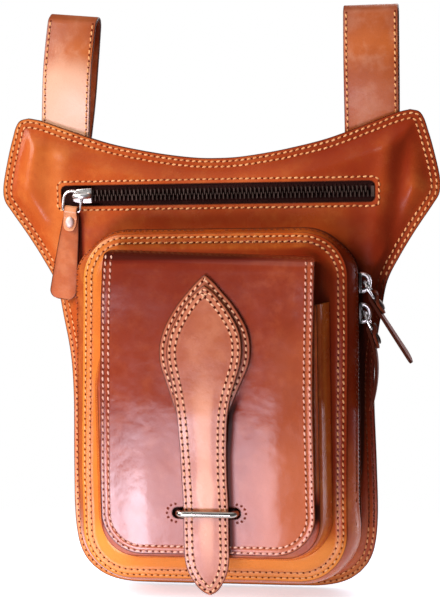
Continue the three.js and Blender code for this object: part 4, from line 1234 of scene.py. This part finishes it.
def makeLoop(side):
    name, values = "loop_" + side, loops[side]
    run = loopRun()
    lean = math.radians(values["lean"])

    def leaning(across, up):
        x = values["x"] + across * math.cos(lean) + up * math.sin(lean)
        return x, loops["foot"] + up * math.cos(lean) - across * math.sin(lean)

    def place(u, v):
        y, z = readRun(run, v)
        square = (2 * u - 1) ** 2
        bow = values["bow"] * bump((z + 27) / 26) * (1 - 0.1 * square) - 0.25 * square
        y = y - bow * bump((y - loops["front"]) / 1.5)
        x, z = leaning((u - 0.5) * values["width"], z - loops["foot"])
        return x, y, z

    piece = addSheet(name + "_strap", place, 30, 200)
    thicken(piece, loops["leather"], 0.5)
    x, depth, z, _ = surveyed(piece)
    across = (x - values["x"] - (z - loops["foot"]) * math.tan(lean)) * math.cos(lean)
    edge = values["width"] / 2 - np.abs(across)
    # painted sheen on the lower front of the left loop, painted shade on the right one; darker at the edges,
    # and near the top as painted shade
    shadingAndTone = 0.5 + values["paintedLight"] * ease((-12 - z) / 24) * ease((5.2 - depth) / 1.2)
    shadingAndTone -= 0.1 * bump(edge / 4) + 0.22 * ease((z + 22) / 16)
    dress(piece, np.maximum(edge, 0), shadingAndTone, "loop", "body_leather", "belt_" + name)
    ends, reach = np.array(loops["rowEnds"]), values["width"] / 2 - loops["row"]
    rows = [np.stack(leaning(way * reach, ends), axis=1) for way in (-1, 1)]
    sew(name + "_stitches", rows, surfaceOf(piece), thread, "body_leather")


makeLoop("left")
makeLoop("right")
print("belt loops made")


# sliders, rings, tabs and rivets

pulls = {
    "sliderTop": 1.7, "bridge": {"span": 8.6, "high": 4.6, "wire": 1.15, "footY": -1, "stretch": 1.3},
    "plate": {"size": (10.2, 1.5, 7.8), "y": -0.95, "rim": 0.5},
    "ring": {"half": 4.7, "topRadius": 4.4, "bottomRadius": 1.3, "wire": 0.75},
    "tab": {"leather": 1.5, "eye": 1.15, "short": 10.6, "top": 3.55, "end": 7.4, "closed": 4},
    "rivet": {"at": 5.9, "half": 2.3, "stretch": 1.35},
    "yoke": {
        "place": (-70.3, -7.15, -92.75), "wall": False, "turn": 0, "pivot": (0, 0), "foot": (-4.7, -8.4),
        "ringHigh": 10.4, "tilt": 0, "lean": 8.1, "length": 47, "bend": 0,
    },
    "upper": {
        "place": (0, -16.5, -138.5), "wall": True, "turn": 90, "pivot": (0, 0.4), "foot": (0, -9),
        "ringHigh": 9, "tilt": -31, "lean": -12, "length": 40, "bend": 0,
    },
    "lower": {
        "place": (0, -16.5, -154), "wall": True, "turn": -90, "pivot": (0, 0.4), "foot": (0, -9),
        "ringHigh": 9, "tilt": -24, "lean": 0, "length": 38, "bend": 22 / 44**2,
    },
}


def shadeAll(piece, shade):
    paint(piece, "shade", np.full(len(piece.data.vertices), shade))


def modelSlider(shade):
    # a plate with a rounded nose and a wire bridge over it; its run is along x and it looks along -y
    shape, bridge = pulls["plate"], pulls["bridge"]
    deselectAll()
    bpy.ops.mesh.primitive_cube_add(size=1)
    plate = bpy.context.object
    plate.name = "slider_plate"
    plate.scale = Vector(shape["size"]) * mm
    plate.location = (0, shape["y"] * mm, 0)
    bpy.ops.object.transform_apply(location=True, scale=True)
    editMesh(plate, bpy.ops.mesh.subdivide, number_cuts=2)
    points = readPoints(plate) / mm
    points[:, 2] *= 1 - 0.25 * ease(-points[:, 0] / (shape["size"][0] / 2))
    writePoints(plate, points * mm)
    roundEdges(plate, shape["rim"])
    arch = [
        (-bridge["span"] / 2 * math.cos(t), bridge["footY"] - bridge["high"] * math.sin(t) ** 0.7 - seamY, 0)
        for t in np.linspace(0, math.pi, 15)
    ]
    wire = addTube("slider_bridge", arch, bridge["wire"], sides=3)
    writePoints(wire, readPoints(wire) * [1, 1, bridge["stretch"]])
    shadeAll(plate, shade)
    shadeAll(wire, 0.0)
    return joinInto("slider", [plate, wire])


def modelRing(high):
    ring = pulls["ring"]
    half, top, low = ring["half"], ring["topRadius"], ring["bottomRadius"]
    run = np.vstack([
        arc(half - low, low, low, -90, 0, 6), arc(half - top, high - top, top, 0, 90, 8),
        arc(top - half, high - top, top, 90, 180, 8), arc(low - half, low, low, 180, 270, 6),
    ])
    return addTube("ring", [(x, -seamY, z) for x, z in run], ring["wire"], closed=True, sides=3)


def roundEnd(s, end, radius):
    # 1 along a strip, falling to 0 round its end
    return np.sqrt(np.maximum(0, 1 - np.maximum(0, (s - end + radius) / radius) ** 2))


def modelTab(length, bend, shade):
    # a strip folded over the ring, its short end in front of its long one
    tab = pulls["tab"]
    turn = tab["eye"] + tab["leather"] / 2
    pinch = turn - tab["leather"] - 0.3

    def halfWidth(s):
        wide = tab["top"] + (tab["end"] - tab["top"]) * np.clip(s / length, 0, 1) ** 0.7
        return wide * (0.3 + 0.7 * roundEnd(s, length, 5))

    short, long = np.linspace(tab["short"], 0.3, 30), np.linspace(0.3, length, 70)
    shortHalf = halfWidth(short) * (0.92 - 0.2 * ease(short / 9))
    shortHalf *= 0.25 + 0.75 * roundEnd(short, tab["short"], 4.5)
    closing = ease(short / tab["closed"])
    rows = [(-(turn * (1 - c) - pinch * c), -s, w) for s, c, w in zip(short, closing, shortHalf)]
    rows += [(turn * math.cos(t), turn * math.sin(t), tab["top"]) for t in np.linspace(math.pi, 0, 14)]
    rows += [(turn, -s, w) for s, w in zip(long, halfWidth(long))]
    rows = np.array(rows)
    rows[:, 0] += bend * np.maximum(0, -rows[:, 1]) ** 2
    way = unit(np.gradient(rows[:, :2], axis=0))
    outer = rows[:, :2] + np.stack([-way[:, 1], way[:, 0]], axis=1) * tab["leather"] / 2
    rows = evenly(np.hstack([outer, rows[:, 2:]]), 300)

    def place(u, v):
        y, z, half = readRun(rows, v)
        return half * (2 * u - 1), y - seamY, z

    piece = addSheet("tab", place, 14, 120)
    thicken(piece, tab["leather"], 0.35)
    x, y, z = (readPoints(piece) / mm).T
    edge = halfWidth(np.maximum(0, -z)) - np.abs(x)
    paint(piece, "rim", np.maximum(0, np.minimum(edge, length + z)))
    onShort = ease((0.95 - y + bend * z**2) / 0.4)
    # the wall tabs darkened as painted shade; the short end lighter, the edges darker
    paint(piece, "shadingAndTone", 0.5 - shade + (-0.1 if shade else 0.42) * onShort - 0.2 * bump(edge / 2))
    return piece


def modelRivet(bend, shade):
    rivet = pulls["rivet"]
    deselectAll()
    bpy.ops.mesh.primitive_uv_sphere_add(segments=20, ring_count=12, radius=1)
    cap = bpy.context.object
    points = readPoints(cap)[:, [0, 2, 1]] * [rivet["half"], 1.15, rivet["half"] * rivet["stretch"]]
    points[:, 1] = np.minimum(points[:, 1], 0.3)
    writePoints(cap, (points + [0, bend * rivet["at"] ** 2 - 1, -rivet["at"]]) * mm)
    closeSeams(cap)
    shadeAll(cap, shade)
    return cap


def makePull(name):
    values = pulls[name]
    wall, (x, y, z) = values["wall"], values["place"]
    if wall:
        x = pocket["high"][0] + gussetOut(pocket["zipY"], z) - 0.4
    base = Matrix.Translation(Vector((x, y + seamY, z)) * mm)
    if wall:
        base = base @ Matrix.Rotation(math.pi / 2, 4, "Z")
    # the wall sliders' plates nearly black, as painted shade
    slider = modelSlider(0.93 if wall else 0.0)
    slider.data.transform(base @ Matrix.Rotation(math.radians(values["turn"]), 4, "Y"))
    slider.name = slider.data.name = name + "_zip_slider"
    finishPiece(slider, steel, "polished_steel", name + "_slider")
    ringY = -pulls["sliderTop"] - pulls["ring"]["wire"] - 0.5
    pivot = Vector((values["pivot"][0], ringY, values["pivot"][1])) * mm
    hang = base @ Matrix.Translation(pivot) @ Matrix.Rotation(math.radians(values["tilt"]), 4, "X")
    hang = hang @ Matrix.Rotation(math.radians(values["lean"]), 4, "Y")
    hang = hang @ Matrix.Translation(Vector((values["foot"][0], 0, values["foot"][1])) * mm)
    # the wall pulls' tab and rivet darkened, as painted shade
    bend, tabShade, rivetShade = values["bend"], 0.45 if wall else 0, 0.85 if wall else 0.0
    for piece, part, material, slotName in (
        (modelRing(values["ringHigh"]), "ring", steel, "polished_steel"),
        (modelTab(values["length"], bend, tabShade), "tab", leather["pull"], "pull_leather"),
        (modelRivet(bend, rivetShade), "rivet", rivetMetal, "polished_steel"),
    ):
        piece.data.transform(hang)
        piece.name = piece.data.name = name + "_" + part
        finishPiece(piece, material, slotName, name + "_pull_" + part)


for name in ("yoke", "upper", "lower"):
    makePull(name)
print("pulls made")


# the stage, lights and camera

studio = {
    "floor": -302.5, "floorFrom": 0.05, "floorTo": 0.17, "glow": 0.6, "room": 0.11,
    # way round from the front, height, distance, width and height in metres, watts, colour
    "lamps": [
        ("key", -52, 30, 1.3, 0.8, 0.8, 19, (1, 0.97, 0.94)),
        ("low", -13, -21.5, 0.9, 0.42, 0.34, 3.5, (0.97, 0.86, 1.0)),
        ("glint", -23, -25, 0.8, 0.2, 0.2, 2.0, (0.90, 0.84, 1.0)),
        ("top", 20, 74, 1.3, 1.2, 1.2, 2.6, (1, 1, 1)),
        ("side", 138, 2, 1.0, 0.35, 0.8, 4, (0.93, 0.88, 1.0)),
        ("back", 155, 32, 1.5, 1.0, 0.9, 14, (1, 1, 1)),
    ],
}


def addStage():
    deselectAll()
    place = (0, 0, studio["floor"] * mm)
    bpy.ops.mesh.primitive_circle_add(vertices=64, radius=0.6, fill_type="NGON", location=place)
    floor = bpy.context.object
    floor.name = "floor"
    material, tree = newMaterial("pale_floor")
    oval = addNode(tree, "VectorMath", operation="MULTIPLY")
    plug(tree, oval.inputs[0], objectPlace(tree))
    plug(tree, oval.inputs[1], (0.45, 1, 1))
    away = addNode(tree, "VectorMath", operation="LENGTH")
    plug(tree, away.inputs[0], oval.outputs[0])
    fade = ramp(tree, away.outputs["Value"], studio["floorFrom"], studio["floorTo"], 1.0, 0.0)
    setSurface(tree, Base_Color=(0.84, 0.89, 1), Roughness=0.7, Alpha=fade)
    setSurface(tree, Emission_Color=(0.95, 0.96, 1), Emission_Strength=studio["glow"])
    floor.data.materials.append(material)
    floor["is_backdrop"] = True


def addWorld():
    # the room looks white and lights the object softly
    world = bpy.data.worlds.new("studio")
    bpy.context.scene.world = world
    world.use_nodes = True
    tree = world.node_tree
    seen = addNode(tree, "LightPath").outputs["Is Camera Ray"]
    background = tree.nodes["Background"].inputs
    plug(tree, background["Color"], (1, 1, 1))
    plug(tree, background["Strength"], ramp(tree, seen, 0.0, 1.0, studio["room"], 1.0))


def addLamp(name, azimuth, elevation, distance, wide, high, power, colour):
    light = bpy.data.lights.new(name, "AREA")
    light.shape = "RECTANGLE"
    light.size, light.size_y = wide, high
    light.energy = power
    light.color = colour
    lamp = bpy.data.objects.new(name, light)
    bpy.context.scene.collection.objects.link(lamp)
    a, e = math.radians(azimuth), math.radians(elevation)
    way = Vector((math.sin(a) * math.cos(e), -math.cos(a) * math.cos(e), math.sin(e)))
    lamp.location = Vector((0, -0.03, -0.17)) + way * distance
    lamp.rotation_euler = way.to_track_quat("Z", "Y").to_euler()
    lamp.visible_camera = False


addStage()
addWorld()
for lamp in studio["lamps"]:
    addLamp(*lamp)
bpy.context.scene.view_settings.view_transform = "Standard"

view = {"from": (0.124526, -0.793822, -0.064377), "to": (0.0, -0.008, -0.148), "roll": -1.27, "lens": 91.87}
cameraData = bpy.data.cameras.new("camera")
cameraData.lens = view["lens"]
cameraData.sensor_width = 36
cameraObject = bpy.data.objects.new("camera", cameraData)
bpy.context.scene.collection.objects.link(cameraObject)
cameraObject.location = view["from"]
facing = (Vector(view["to"]) - Vector(view["from"])).to_track_quat("-Z", "Y").to_matrix()
cameraObject.rotation_euler = (facing @ Matrix.Rotation(math.radians(view["roll"]), 3, "Z")).to_euler()
bpy.context.scene.camera = cameraObject

low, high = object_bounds()
{"cad": [list(cadLow), list(cadHigh)], "visual": [list(low), list(high)]}
